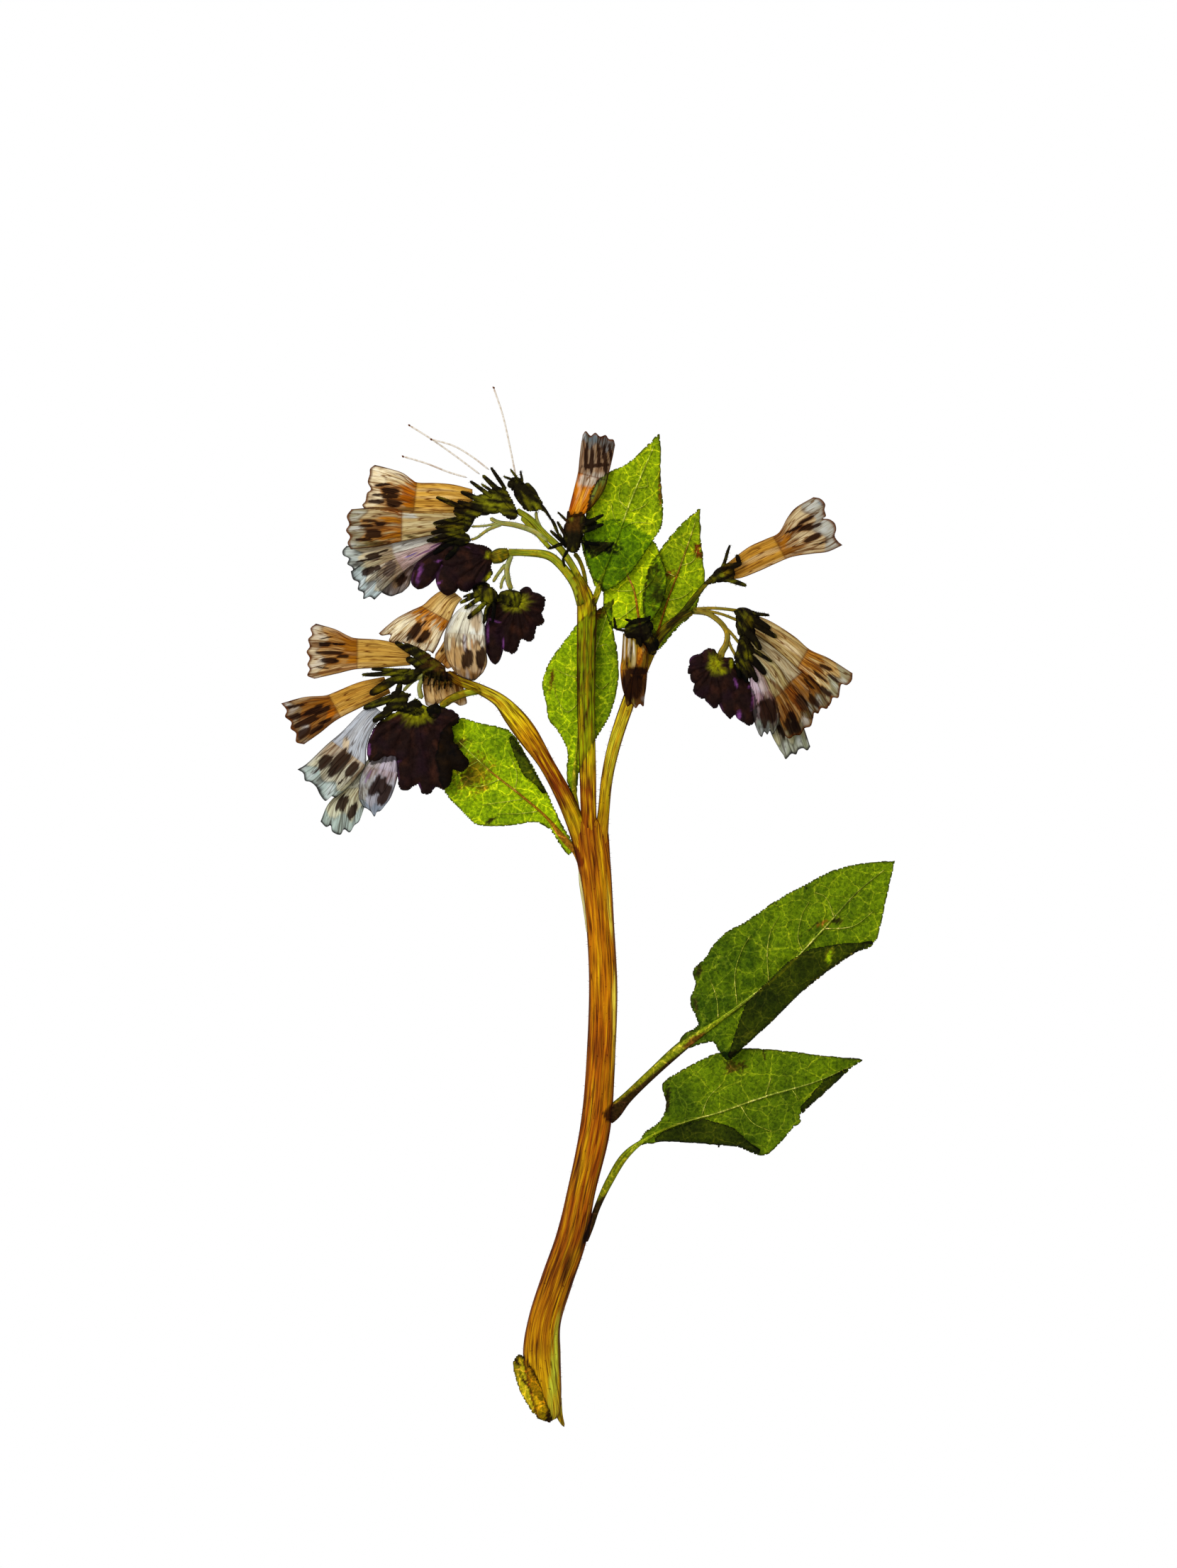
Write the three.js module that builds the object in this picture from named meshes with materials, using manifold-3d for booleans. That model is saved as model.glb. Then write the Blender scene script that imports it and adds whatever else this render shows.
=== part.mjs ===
// Rough comfrey: one pressed, dried and cut flowering sprig that lies flat.
// Millimetres, +Z up. +Y runs from the cut end to the flowers. The origin is under its outline's middle.
import * as THREE from "three";
import { mergeVertices } from "three/addons/utils/BufferGeometryUtils.js";
import Module from "manifold-3d";

const wasm = await Module();
wasm.setup();

// Driving sizes
const GAP = 0.3; // room that each piece keeps from the pieces laid before it
const BLADE = 0.62; // thickness of a pressed leaf
const FOLD = 0.95; // height of a folded flap over its own blade
const VEIN = 0.16; // half width of a side vein
const COROLLA = 0.42; // half thickness of a pressed corolla tube
const LOBE = 0.24; // half width of a calyx lobe
const THREAD_WIDTH = 0.17; // half width of a style
const BUD_DEPTH = 0.6; // half thickness of a bud
const CORE_DEPTH = 0.75; // half thickness of what holds a bunch of buds together
const RIB_DEPTH = 0.35; // most half height of a midrib
const RIB_SINK = 0.2; // how far a midrib's middle lies under the leaf's upper face
const FOLD_EDGE = 0.3; // half width of the bend along a folded flap

// Parts of a corolla, as shares of the bell's length or of the waist's and mouth's widths
const NECK_AT = 0.12;
const NECK_WIDTH = 0.96;
const FLARE_AT = 0.6;
const FLARE_WIDTH = 0.65;
const TEETH = 0.5; // how far a corolla's teeth reach past its mouth

// Heights of the layers that cross each other in the pressed sprig
const FLOOR = 0;
const LEAF_UNDER = 0;
const LEAF_MIDDLE = 0.95;
const LEAF_OVER = 1.9;
const BLOOM_LOW = 0.95;
const BLOOM_HIGH = 2.1;
const BLOOM_TOP = 3.4;
const BUDS_LOW = 1.1;
const BUDS_MIDDLE = 1.85;
const FORK_HEIGHT = 1.9;
const CALYX = 1.9;
const CALYX_LOW = 1.5;
const CALYX_OVER_BRANCH = 3;
const CALYX_OVER_LEAF = 3.3;
const LOBE_RISE = 1.05;
const STYLE_OVER = 2.7;

// Finish of each kind of tissue
const tissue = (color, roughness) => new THREE.MeshStandardMaterial({ color, roughness, metalness: 0 });
const STEM = tissue(0x9a6418, 0.75);
const LEAF = tissue(0x5d7f14, 0.8);
const TAN = tissue(0xc08a42, 0.7);
const PALE = tissue(0xb9b8b4, 0.7);
const CALYX_GREEN = tissue(0x27300f, 0.85);
const BUD = tissue(0x1c1017, 0.8);
const THREAD = tissue(0xd9cfbf, 0.6);

const root = new THREE.Group();
const laid = [];

// A closed triangle mesh as a solid that can be joined and cut
function solidOf(geometry) {
  const bare = new THREE.BufferGeometry();
  bare.setAttribute("position", geometry.getAttribute("position"));
  bare.setIndex(geometry.index);
  const merged = mergeVertices(bare, 1e-4);
  return new wasm.Manifold(
    new wasm.Mesh({
      numProp: 3,
      vertProperties: merged.attributes.position.array,
      triVerts: new Uint32Array(merged.index.array),
    }),
  );
}

// A solid strand along points of [x, y, z, half width, half height], flattened towards the surface.
// Crown teeth push every second corner of its far end forward.
function strand(points, { sides = 6, steps = 2, crown = 0 } = {}) {
  const route = new THREE.CatmullRomCurve3(
    points.map(([x, y, z]) => new THREE.Vector3(x, y, z)),
    false,
    "centripetal",
  );
  const girth = points.map(([, , , width, height]) => new THREE.Vector2(width, height));
  const count = (points.length - 1) * steps;
  return (room) => {
    const position = [];
    const index = [];
    const ring = (i, j) => i * sides + (j % sides);
    for (let i = 0; i <= count; i++) {
      const at = route.getPoint(i / count);
      const along = route.getTangent(i / count).setZ(0).normalize();
      const side = new THREE.Vector3(-along.y, along.x, 0);
      const from = Math.min(Math.floor(i / steps), points.length - 2);
      const size = girth[from].clone().lerp(girth[from + 1], i / steps - from);
      if (i === 0) at.addScaledVector(along, -room);
      if (i === count) at.addScaledVector(along, room);
      for (let j = 0; j < sides; j++) {
        const angle = (2 * Math.PI * j) / sides;
        const corner = at.clone().addScaledVector(side, (size.x + room) * Math.cos(angle));
        if (i === count && j % 2 === 0) corner.addScaledVector(along, crown);
        const height = at.z + (size.y + room) * Math.sin(angle);
        position.push(corner.x, corner.y, Math.max(FLOOR - room, height));
      }
    }
    const first = position.length / 3;
    for (const t of [0, 1]) {
      const end = route.getPoint(t);
      const along = route.getTangent(t).setZ(0).normalize();
      end.addScaledVector(along, t === 0 ? -room : room);
      position.push(end.x, end.y, Math.max(FLOOR - room, end.z));
    }
    for (let j = 0; j < sides; j++) {
      for (let i = 0; i < count; i++) {
        index.push(ring(i, j), ring(i, j + 1), ring(i + 1, j + 1));
        index.push(ring(i, j), ring(i + 1, j + 1), ring(i + 1, j));
      }
      index.push(first, ring(0, j + 1), ring(0, j));
      index.push(first + 1, ring(count, j), ring(count, j + 1));
    }
    const geometry = new THREE.BufferGeometry();
    geometry.setAttribute("position", new THREE.Float32BufferAttribute(position, 3));
    geometry.setIndex(index);
    return solidOf(geometry);
  };
}

// A flat plate with a smooth outline through points of [x, y], and a sharp corner at the first one
function plate(outline, bottom, thickness = BLADE, smooth = 2) {
  const corners = outline.map(([x, y]) => new THREE.Vector2(x, y));
  const curve = new THREE.SplineCurve([...corners, corners[0]]);
  const shape = new THREE.Shape(curve.getPoints(corners.length * smooth).slice(0, -1));
  return (room) => {
    const geometry = new THREE.ExtrudeGeometry(shape, { depth: thickness + 2 * room, bevelEnabled: false });
    geometry.translate(0, 0, bottom - room);
    return solidOf(geometry);
  };
}

// Points of [x, y, half width] laid at one height, with one half thickness
const level = (points, z, thick) => points.map(([x, y, width]) => [x, y, z, width, thick ?? width]);

const join = (shapes, room) => shapes.map((make) => make(room)).reduce((a, b) => a.add(b));

// Lays one piece: it is cut back wherever it would come nearer than GAP to a piece laid before it
function lay(name, material, shapes) {
  let solid = join(shapes, 0);
  for (const other of laid) {
    if (solid.intersect(other).volume() > 0) solid = solid.subtract(other);
  }
  solid = solid.decompose().sort((a, b) => b.volume() - a.volume())[0];
  laid.push(join(shapes, GAP));
  const { vertProperties, triVerts } = solid.getMesh();
  const geometry = new THREE.BufferGeometry();
  geometry.setAttribute("position", new THREE.BufferAttribute(vertProperties, 3));
  geometry.setIndex(new THREE.BufferAttribute(triVerts, 1));
  geometry.computeVertexNormals();
  const mesh = new THREE.Mesh(geometry, material);
  mesh.name = name;
  root.add(mesh);
}

// The stem: main stalk, three branches, their forks, the flower stalks and the scale left at the cut end
const mainStalk = [
  [-4.9, -65.4, 0.9, 1.3, 0.7],
  [-5.2, -62, 0.9, 1.9, 1],
  [-5.8, -57, 0.95, 2.35, 1.1],
  [-5.45, -52.5, 0.95, 2.05, 1.1],
  [-3.9, -47.5, 0.95, 2, 1.1],
  [-2, -42, 0.95, 1.95, 1.1],
  [-0.75, -36, 0.95, 1.75, 1.1],
  [0.9, -28.5, 0.95, 1.9, 1.1],
  [1.6, -21.5, 0.95, 1.82, 1.1],
  [2, -11, 0.95, 1.78, 1.1],
  [1.6, -2, 0.95, 1.75, 1.1],
  [0.95, 5, 0.95, 2.05, 1.1],
  [0.4, 9, 0.95, 2.3, 1],
  [0.3, 11.5, 0.95, 1.9, 0.8],
];
const leftBranch = [
  [-0.4, 7, 0.95, 1.1, 0.8],
  [-1.4, 10.4, 0.95, 1.15, 0.8],
  [-2.9, 14, 0.95, 1.1, 0.75],
  [-5.2, 18.2, 0.95, 1, 0.7],
  [-7.6, 21.9, 1, 1.35, 0.7],
  [-9.4, 24.3, 1.2, 1.25, 0.65],
  [-11.2, 26.3, 1.6, 0.85, 0.6],
  [-13.7, 27.7, 2, 0.65, 0.5],
  [-16, 28.6, 2.1, 0.6, 0.45],
  [-18, 29.7, 2.1, 0.6, 0.45],
];
const centralBranch = [
  [0.4, 8, 1, 1, 0.9],
  [0.15, 12, 1.2, 0.98, 0.8],
  [0.05, 17, 1.8, 1.05, 0.7],
  [-0.15, 24, 1.9, 1.12, 0.7],
  [-0.15, 32, 1.9, 1.15, 0.7],
  [-0.05, 38.8, 1.9, 1.2, 0.65],
];
const rightBranch = [
  [1.6, 7.5, 0.95, 1, 0.8],
  [2.05, 12, 0.95, 0.75, 0.75],
  [2.5, 16.5, 0.95, 0.75, 0.7],
  [3.5, 21, 0.95, 0.82, 0.7],
  [5.1, 25.8, 1.1, 0.85, 0.65],
  [6.5, 29.3, 1.6, 0.85, 0.6],
  [8.6, 33.7, 1.85, 0.7, 0.55],
  [10.2, 35.6, 1.85, 0.6, 0.5],
  [12, 36.9, 1.85, 0.5, 0.45],
  [13.4, 37.6, 1.85, 0.5, 0.4],
];
const forks = [
  // to the lower bunch of the top-left cyme
  [
    [-0.6, 38.2, 0.7], [-1.6, 41, 0.6], [-3.4, 43.4, 0.55],
    [-5.2, 44.7, 0.55], [-8.2, 45, 0.45], [-10.2, 45, 0.5],
  ],
  // its swollen end
  [[-9.8, 45.1, 0.5], [-11.2, 44.6, 0.95], [-12.4, 44.1, 0.6]],
  // to the top-left calyces, in two strands
  [
    [-0.1, 38.8, 0.6], [-1.2, 42, 0.45], [-3.2, 45.2, 0.45],
    [-5.4, 47.3, 0.45], [-7.3, 49.3, 0.4], [-9.1, 50.4, 0.4],
  ],
  [[-4.6, 45.4, 0.3], [-6.6, 47.6, 0.3], [-8.4, 49.5, 0.3]],
  [[-5.6, 47.4, 0.25], [-6.4, 49.2, 0.22], [-6.5, 50.3, 0.2]],
  // the arching stalk of the two left blooms
  [[-4.9, 46.5, 0.4], [-7, 47.8, 0.38], [-9.2, 48.5, 0.35], [-11.2, 48.8, 0.3], [-12.4, 49.4, 0.25]],
  [[-11, 48.8, 0.2], [-13, 48.4, 0.15], [-14.8, 48.3, 0.15]],
  [[-10.8, 48.7, 0.3], [-12.6, 47.9, 0.22], [-14, 46.9, 0.18], [-14.9, 46.6, 0.15]],
  // down to the coiled cyme below
  [[-9.6, 44.8, 0.3], [-10.2, 43, 0.35], [-10, 41.3, 0.35], [-9.6, 40.2, 0.3]],
  [[-10.3, 43.6, 0.25], [-11.4, 42.2, 0.22], [-12, 41.2, 0.2]],
  [[-10.1, 42.6, 0.2], [-10.8, 41.4, 0.2], [-11, 40.3, 0.18]],
  // the stalk of the single upright bloom
  [[-0.2, 39.5, 0.35], [-0.35, 42, 0.26], [-0.95, 43.9, 0.26], [-1.7, 45, 0.3]],
  // the lower loop of the left branch
  [[-13.4, 27.6, 0.5], [-15.4, 27.2, 0.5], [-17.4, 26.4, 0.5], [-18.7, 25.4, 0.45]],
  [[-17.6, 29.4, 0.4], [-20.2, 29.6, 0.4], [-22, 28.8, 0.25], [-23.4, 27.4, 0.2]],
  [[-20.6, 29.5, 0.3], [-21.3, 28, 0.3], [-21, 26.4, 0.35]],
  // to the right-hand bloom
  [[10, 35.4, 0.4], [12, 37.3, 0.4], [13.6, 39.3, 0.38], [14.9, 40.9, 0.3], [15.9, 41.7, 0.3]],
  // to the right-hand cyme
  [
    [13.2, 37.6, 0.4], [15.2, 37.3, 0.35], [16.9, 36.1, 0.35],
    [17.7, 34.8, 0.35], [17.6, 33.4, 0.4], [17, 32.3, 0.5],
  ],
  [[13.2, 37.8, 0.25], [16, 37.95, 0.2], [18.6, 37.7, 0.2]],
  [[14.8, 37.7, 0.2], [17, 37.2, 0.18], [18.6, 36.6, 0.18]],
  [[17.2, 35.7, 0.25], [18.2, 34.8, 0.2], [19.1, 33.7, 0.2]],
  [[17.7, 34.2, 0.25], [18.2, 33, 0.2], [18.7, 32.1, 0.2]],
  // the short stalk of the hanging bloom
  [[8.7, 34.2, 0.4], [8.3, 35.1, 0.3], [7.9, 35.5, 0.3]],
];
const cutEndScale = [
  [-8.9, -56.8], [-7.8, -57.4], [-6.3, -59.8], [-5.3, -62.5], [-4.5, -65.1],
  [-6, -64.9], [-7.6, -63.2], [-8.9, -60.6], [-9.45, -58.2],
];
const cutEndSplinter = [
  [-3.8, -62, 0.7, 0.5, 0.4],
  [-3.6, -64.4, 0.6, 0.45, 0.35],
  [-2.95, -66.1, 0.5, 0.15, 0.15],
];
lay("stem", STEM, [
  strand(mainStalk, { sides: 10 }),
  strand(leftBranch, { sides: 8 }),
  strand(centralBranch, { sides: 8 }),
  strand(rightBranch, { sides: 8 }),
  plate(cutEndScale, 1.1, 0.8),
  strand(cutEndSplinter, { sides: 5, steps: 1 }),
  ...forks.map((fork) => strand(level(fork, FORK_HEIGHT), { sides: 6, steps: 1 })),
]);

// A pressed corolla: a flattened tube from base to waist, then a bell with a toothed mouth
function corolla(base, waist, mouth, [baseWidth, waistWidth, mouthWidth], z) {
  const between = (a, b, t) => [a[0] + (b[0] - a[0]) * t, a[1] + (b[1] - a[1]) * t];
  const tube = between(base, waist, 0.5);
  const neck = between(waist, mouth, NECK_AT);
  const bell = between(waist, mouth, FLARE_AT);
  const bellWidth = waistWidth + (mouthWidth - waistWidth) * FLARE_WIDTH;
  const points = [
    [...base, z, baseWidth, COROLLA * 0.8],
    [...tube, z, (baseWidth + waistWidth) / 2, COROLLA],
    [...waist, z, waistWidth, COROLLA],
    [...neck, z, waistWidth * NECK_WIDTH, COROLLA * 0.9],
    [...bell, z, bellWidth, COROLLA],
    [...mouth, z, mouthWidth, COROLLA * 0.7],
  ];
  return strand(points, { sides: 8, steps: 1, crown: TEETH });
}

// Every open corolla: name, tissue, base, waist, mouth, half widths and height
const OPEN_BLOOMS = [
  ["corolla_1a", TAN, [-14.6, 51.7], [-21.9, 52.1], [-27.6, 53.4], [1.2, 1.9, 2.8], BLOOM_LOW],
  ["corolla_1b", TAN, [-16.6, 48.9], [-24.1, 48.3], [-29.9, 47.9], [1, 1.75, 2.3], BLOOM_HIGH],
  ["corolla_1c", PALE, [-18.2, 47.3], [-25.2, 45.3], [-30.2, 44.2], [0.7, 1.3, 1.7], BLOOM_LOW],
  ["corolla_1d", PALE, [-17.9, 46.6], [-24.3, 43.6], [-28.3, 40.9], [0.6, 1.2, 2.2], BLOOM_HIGH],
  ["corolla_2a", TAN, [-16.4, 39.3], [-19.4, 37.1], [-23, 34], [0.7, 1.9, 3.4], BLOOM_LOW],
  ["corolla_2c", TAN, [-15.4, 37.4], [-16.3, 34.4], [-17.4, 31.3], [0.8, 1.4, 2.1], BLOOM_LOW],
  ["corolla_3a", TAN, [-22.3, 31.9], [-29.3, 32.2], [-34.9, 32.5], [1.2, 1.95, 3.5], BLOOM_HIGH],
  ["corolla_3b", TAN, [-25.4, 28.2], [-32.3, 25.4], [-37.49, 23.41], [1.2, 1.75, 2.92], BLOOM_LOW],
  ["corolla_3c", PALE, [-26.7, 25.1], [-30.4, 20.9], [-34.4, 15.9], [0.9, 2, 2.6], BLOOM_HIGH],
  ["corolla_3d", PALE, [-26.3, 19.3], [-29.3, 15.3], [-31.7, 10.6], [0.8, 1.5, 2], BLOOM_LOW],
  ["corolla_3f", TAN, [-18.7, 29.9], [-18.4, 28.4], [-17.9, 26.6], [1.8, 2.4, 2.7], BLOOM_LOW],
  ["corolla_4", TAN, [-1.7, 49.6], [0.5, 55.1], [1.45, 59.3], [1.1, 1.9, 2.1], BLOOM_TOP],
  ["corolla_5", TAN, [6, 33.6], [5.9, 30.1], [5.9, 25.6], [1.4, 1.8, 1.3], BLOOM_TOP],
  ["corolla_6", TAN, [18.4, 43], [25, 46.2], [30.2, 49], [1.25, 1.85, 3.3], BLOOM_LOW],
  ["corolla_7a", TAN, [21.3, 36.6], [27.3, 31.5], [32.4, 28.6], [0.9, 1.4, 1.9], BLOOM_HIGH],
  ["corolla_7b", TAN, [21.2, 34.7], [25.5, 29.5], [29.7, 25.8], [0.8, 1.5, 1.7], BLOOM_LOW],
  ["corolla_7c", TAN, [21.2, 32.8], [24.2, 27.9], [27.1, 22.9], [0.7, 1.4, 1.7], BLOOM_HIGH],
  ["corolla_7d", PALE, [21.6, 30.6], [23.9, 26.4], [26.5, 20.3], [0.7, 1.3, 1.7], BLOOM_LOW],
];
for (const [name, material, base, waist, mouth, widths, z] of OPEN_BLOOMS) {
  lay(name, material, [corolla(base, waist, mouth, widths, z)]);
}

// Corollas that haven't opened: points of [x, y, half width] down to a rounded end
const CLOSED_BLOOMS = [
  [
    "corolla_1e", BLOOM_LOW,
    [[-18, 46.2, 0.6], [-21.6, 44.2, 1.2], [-24, 42.3, 2.4], [-25, 40.9, 2], [-25.4, 39.8, 0.9]],
  ],
  [
    "corolla_2b", BLOOM_HIGH,
    [[-14.5, 38.4, 1], [-15.4, 35.6, 2.2], [-15.4, 33, 2.7], [-14.8, 30.4, 2], [-14.6, 29, 0.8]],
  ],
  [
    "corolla_3e", BLOOM_HIGH,
    [[-25.9, 18.3, 0.8], [-26.3, 16.4, 1.9], [-26.9, 14, 2.1], [-27.2, 12.2, 1], [-27.2, 11.6, 0.5]],
  ],
  [
    "corolla_7e", BLOOM_HIGH,
    [[21, 30.3, 0.6], [22.2, 27.4, 1.2], [22.6, 24.6, 1.7], [22.7, 22.7, 1.3], [22.7, 21.9, 0.6]],
  ],
];
for (const [name, z, points] of CLOSED_BLOOMS) {
  lay(name, PALE, [strand(level(points, z, COROLLA), { sides: 8, steps: 1 })]);
}

// A calyx: cups of [x, y, x, y, half width], and blunt lobes of [x, y, x, y] that lie over the corolla
function calyx(cups, lobes, z = CALYX) {
  const cup = ([x0, y0, x1, y1, width]) =>
    strand(
      [
        [x0, y0, z, width * 0.55, 0.4],
        [(x0 + x1) / 2, (y0 + y1) / 2, z, width, 0.7],
        [x1, y1, z + 0.3, width * 0.9, 0.6],
      ],
      { sides: 6, steps: 1 },
    );
  const lobe = ([x0, y0, x1, y1]) =>
    strand(
      [
        [x0, y0, z + 0.3, LOBE, 0.3],
        [x0 + (x1 - x0) * 0.35, y0 + (y1 - y0) * 0.35, z + LOBE_RISE, LOBE * 1.3, 0.2],
        [x1, y1, z + LOBE_RISE, LOBE * 0.9, 0.2],
      ],
      { sides: 4, steps: 1 },
    );
  return [...cups.map(cup), ...lobes.map(lobe)];
}
lay("calyces_1", CALYX_GREEN, calyx(
  [
    [-12.1, 50.2, -14.2, 51.2, 1],
    [-14.9, 48.3, -16.2, 48.9, 0.75],
    [-14.8, 46.7, -17.2, 46.9, 0.9],
    [-9.6, 50.2, -12, 52.3, 1.1],
    [-10.9, 50.4, -13, 50.8, 0.7],
    [-14.2, 50.2, -15.8, 47.6, 0.5],
  ],
  [
    [-12.9, 51.8, -15.1, 54.2],
    [-11.8, 52.8, -13.3, 55],
    [-11.2, 52.7, -12.2, 55.9],
    [-11.9, 52, -13.4, 53.6],
    [-13.2, 51.8, -16, 52.8],
    [-14.4, 51.2, -19.3, 52],
    [-13.6, 50.8, -16.4, 51.7],
    [-15.6, 49.2, -19.6, 48.6],
    [-15.6, 48.6, -19.9, 47.7],
    [-16.6, 47.2, -20.5, 46.4],
    [-16.8, 46.4, -19.5, 44.8],
  ],
));
lay("calyx_1_spent", CALYX_GREEN, calyx(
  [[-6.3, 50.5, -8.6, 53.4, 1.3]],
  [
    [-8.6, 53.2, -9.8, 55.5],
    [-8.5, 53.2, -8.5, 55.4],
    [-8.7, 53, -10.6, 54.6],
    [-8.4, 52.8, -10.1, 53.4],
  ],
));
lay("calyces_2", CALYX_GREEN, calyx(
  [
    [-12.4, 41, -14.4, 39.7, 0.95],
    [-11.9, 40.2, -12.9, 38.3, 0.95],
    [-11.4, 39.5, -8.3, 38.9, 1.1],
    [-10.4, 40.3, -9.2, 38.2, 0.9],
  ],
  [
    [-14, 39.6, -16.9, 38.4],
    [-13.8, 39.3, -15.7, 37.8],
    [-13.2, 38.8, -15.1, 36.6],
    [-12.8, 38.6, -13, 36.2],
  ],
));
lay("calyces_3", CALYX_GREEN, calyx(
  [
    [-18, 29.9, -21.4, 31.4, 1],
    [-21.4, 29.5, -23.8, 29, 0.9],
    [-22.9, 27, -24.9, 26.4, 0.9],
    [-21.2, 26.2, -22.6, 24.6, 1],
    [-18.6, 25.5, -20.2, 24.4, 0.9],
    [-20.6, 24.8, -24.2, 25.6, 0.7],
    [-20.4, 30.8, -22.2, 29.4, 0.5],
    [-23.6, 29, -24.2, 26.6, 0.4],
  ],
  [
    [-21, 31.3, -24.2, 33.8],
    [-20.3, 31.4, -23.2, 33.4],
    [-21, 30.9, -24, 32],
    [-22.6, 29.9, -27.2, 30.1],
    [-23, 29.3, -28.5, 29.4],
    [-23.4, 28.9, -27.3, 28],
    [-23.4, 28.7, -27.4, 26.9],
    [-24.6, 26.6, -28.3, 25.1],
    [-24.6, 26.1, -27.3, 23.6],
    [-21.8, 26, -21.9, 26.9],
    [-19.2, 25.1, -19.3, 26.2],
    [-19.2, 30, -20, 27.9],
    [-18.8, 30, -19.1, 27.6],
    [-18.5, 29.9, -18.3, 27.5],
  ],
));
lay("calyx_4", CALYX_GREEN, calyx(
  [[-1.9, 45.3, -1.7, 48.8, 1.25]],
  [
    [-2.2, 47.2, -3.8, 50.1],
    [-2.4, 46.9, -4, 48.9],
    [-2.4, 46.4, -4.8, 47.8],
    [-2.3, 46, -5.1, 45.5],
    [-1.9, 48.2, -2.3, 50.5],
    [-1.4, 48.2, -0.9, 50],
    [-1.1, 48, 2, 49.6],
    [-1.1, 47.6, 2, 48.4],
  ],
  CALYX_OVER_BRANCH,
));
lay("calyx_5", CALYX_GREEN, calyx(
  [[8, 35.4, 6.1, 34.4, 1.7]],
  [
    [5.8, 35, 4.6, 34],
    [6.4, 34.8, 6.3, 32.8],
    [7.2, 34.8, 8.5, 32.1],
    [7.4, 35.2, 8.9, 34],
    [6.2, 35.4, 4.7, 35.9],
    [7.2, 35.4, 8, 36.6],
  ],
  CALYX_OVER_LEAF,
));
lay("calyx_6", CALYX_GREEN, calyx(
  [[15.9, 41.9, 17.7, 42.7, 0.75]],
  [
    [16.9, 42.6, 18.1, 45.9],
    [17.2, 42.5, 19.1, 44.2],
    [16.9, 42.1, 20.2, 40.9],
  ],
  CALYX_LOW,
));
lay("calyces_7", CALYX_GREEN, calyx(
  [
    [18.7, 37.6, 20.8, 36.9, 0.8],
    [18.8, 36.2, 20.7, 35.2, 0.9],
    [19.1, 33.9, 20.7, 33.5, 0.95],
    [18.8, 31.9, 20.6, 31.5, 0.95],
    [19.3, 31.4, 20.3, 29.2, 0.9],
    [19.9, 37.4, 19.9, 34.4, 0.8],
    [19.9, 35, 19.8, 31.6, 0.8],
  ],
  [
    [20.5, 37.1, 23, 37],
    [20.5, 36.1, 22.8, 35.4],
    [20.6, 35.4, 23.8, 34.1],
    [20.3, 34.8, 21.8, 32.7],
    [20.6, 32.9, 23.3, 31.2],
    [20.4, 31.9, 22.4, 29.7],
    [20.1, 31.3, 21.2, 28.7],
  ],
));

// A bunch of dark buds: each runs through points of [x, y, half width], and one core holds them together
function buds(core, list, z) {
  const bud = (points) => strand(level(points, z, BUD_DEPTH), { sides: 6, steps: 1 });
  return [strand(level(core, z, CORE_DEPTH), { sides: 8, steps: 1 }), ...list.map(bud)];
}
lay("buds_1", BUD, buds(
  [[-17.6, 45.2, 0.8], [-15.6, 44.4, 1.6], [-13.4, 43.6, 1.2]],
  [
    [[-18, 45.4, 0.6], [-20.2, 43, 1.45], [-21.2, 41.4, 1.2], [-21.5, 40.3, 0.6]],
    [[-16.4, 45, 0.7], [-17.5, 42.2, 1.6], [-17.7, 40.4, 1.2], [-17.8, 39.5, 0.5]],
    [[-15.4, 44.4, 0.9], [-15.6, 42.4, 1.5], [-15.5, 40.9, 1], [-15.5, 40.2, 0.5]],
    [[-14, 44.2, 0.9], [-13.7, 42.6, 1.3], [-13.8, 41.2, 0.8], [-13.8, 40.8, 0.5]],
  ],
  BLOOM_HIGH,
));
lay("buds_2", BUD, buds(
  [[-11.6, 37, 0.8], [-10, 36.6, 1.3], [-8.4, 37.4, 1.2]],
  [
    [[-12, 37.2, 0.5], [-12, 35, 1.1], [-11.8, 32.8, 1.1], [-11.7, 30.8, 0.4]],
    [[-10.6, 36.8, 0.8], [-10, 34.6, 1.1], [-9.6, 32.8, 0.8], [-9.5, 32.4, 0.4]],
    [[-9, 36.9, 0.8], [-8, 35.4, 1.1], [-7.5, 34.3, 0.8], [-7.4, 34, 0.5]],
    [[-8.4, 37.6, 0.8], [-6.9, 36.9, 1], [-5.9, 36.5, 0.7], [-5.6, 36.4, 0.4]],
    [[-8.4, 38.2, 0.7], [-6.8, 38.9, 1], [-5.9, 39, 0.7], [-5.5, 38.9, 0.4]],
    [[-7.4, 38.8, 0.5], [-7.6, 40, 0.6], [-8.2, 40.6, 0.4]],
  ],
  BUDS_LOW,
));
lay("buds_3", BUD, buds(
  [[-24.6, 22.6, 1.2], [-22, 21.8, 1.8], [-19, 21.6, 1.8]],
  [
    [[-24.6, 22.8, 0.9], [-26, 21, 1.6], [-26.8, 19.2, 1.2], [-27, 18.4, 0.6]],
    [[-22.8, 21, 1.2], [-22.9, 18, 1.3], [-23, 15.9, 0.9], [-23, 15.1, 0.5]],
    [[-21, 21, 1.2], [-20.6, 17.4, 1.3], [-20.3, 15.2, 0.9], [-20.2, 14.5, 0.5]],
    [[-19.4, 20.6, 1.2], [-18.7, 17.6, 1.3], [-18.1, 16, 0.9], [-17.9, 15.4, 0.5]],
    [[-19, 22.2, 1.2], [-17.8, 22, 1.1], [-17.1, 21.9, 0.8]],
    [[-19.6, 23, 1], [-17.6, 24.2, 0.9], [-16.6, 24.3, 0.5]],
    [[-18.4, 19.6, 1], [-16.4, 18.7, 1.1], [-15.4, 18.5, 0.6]],
  ],
  BUDS_MIDDLE,
));
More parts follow.
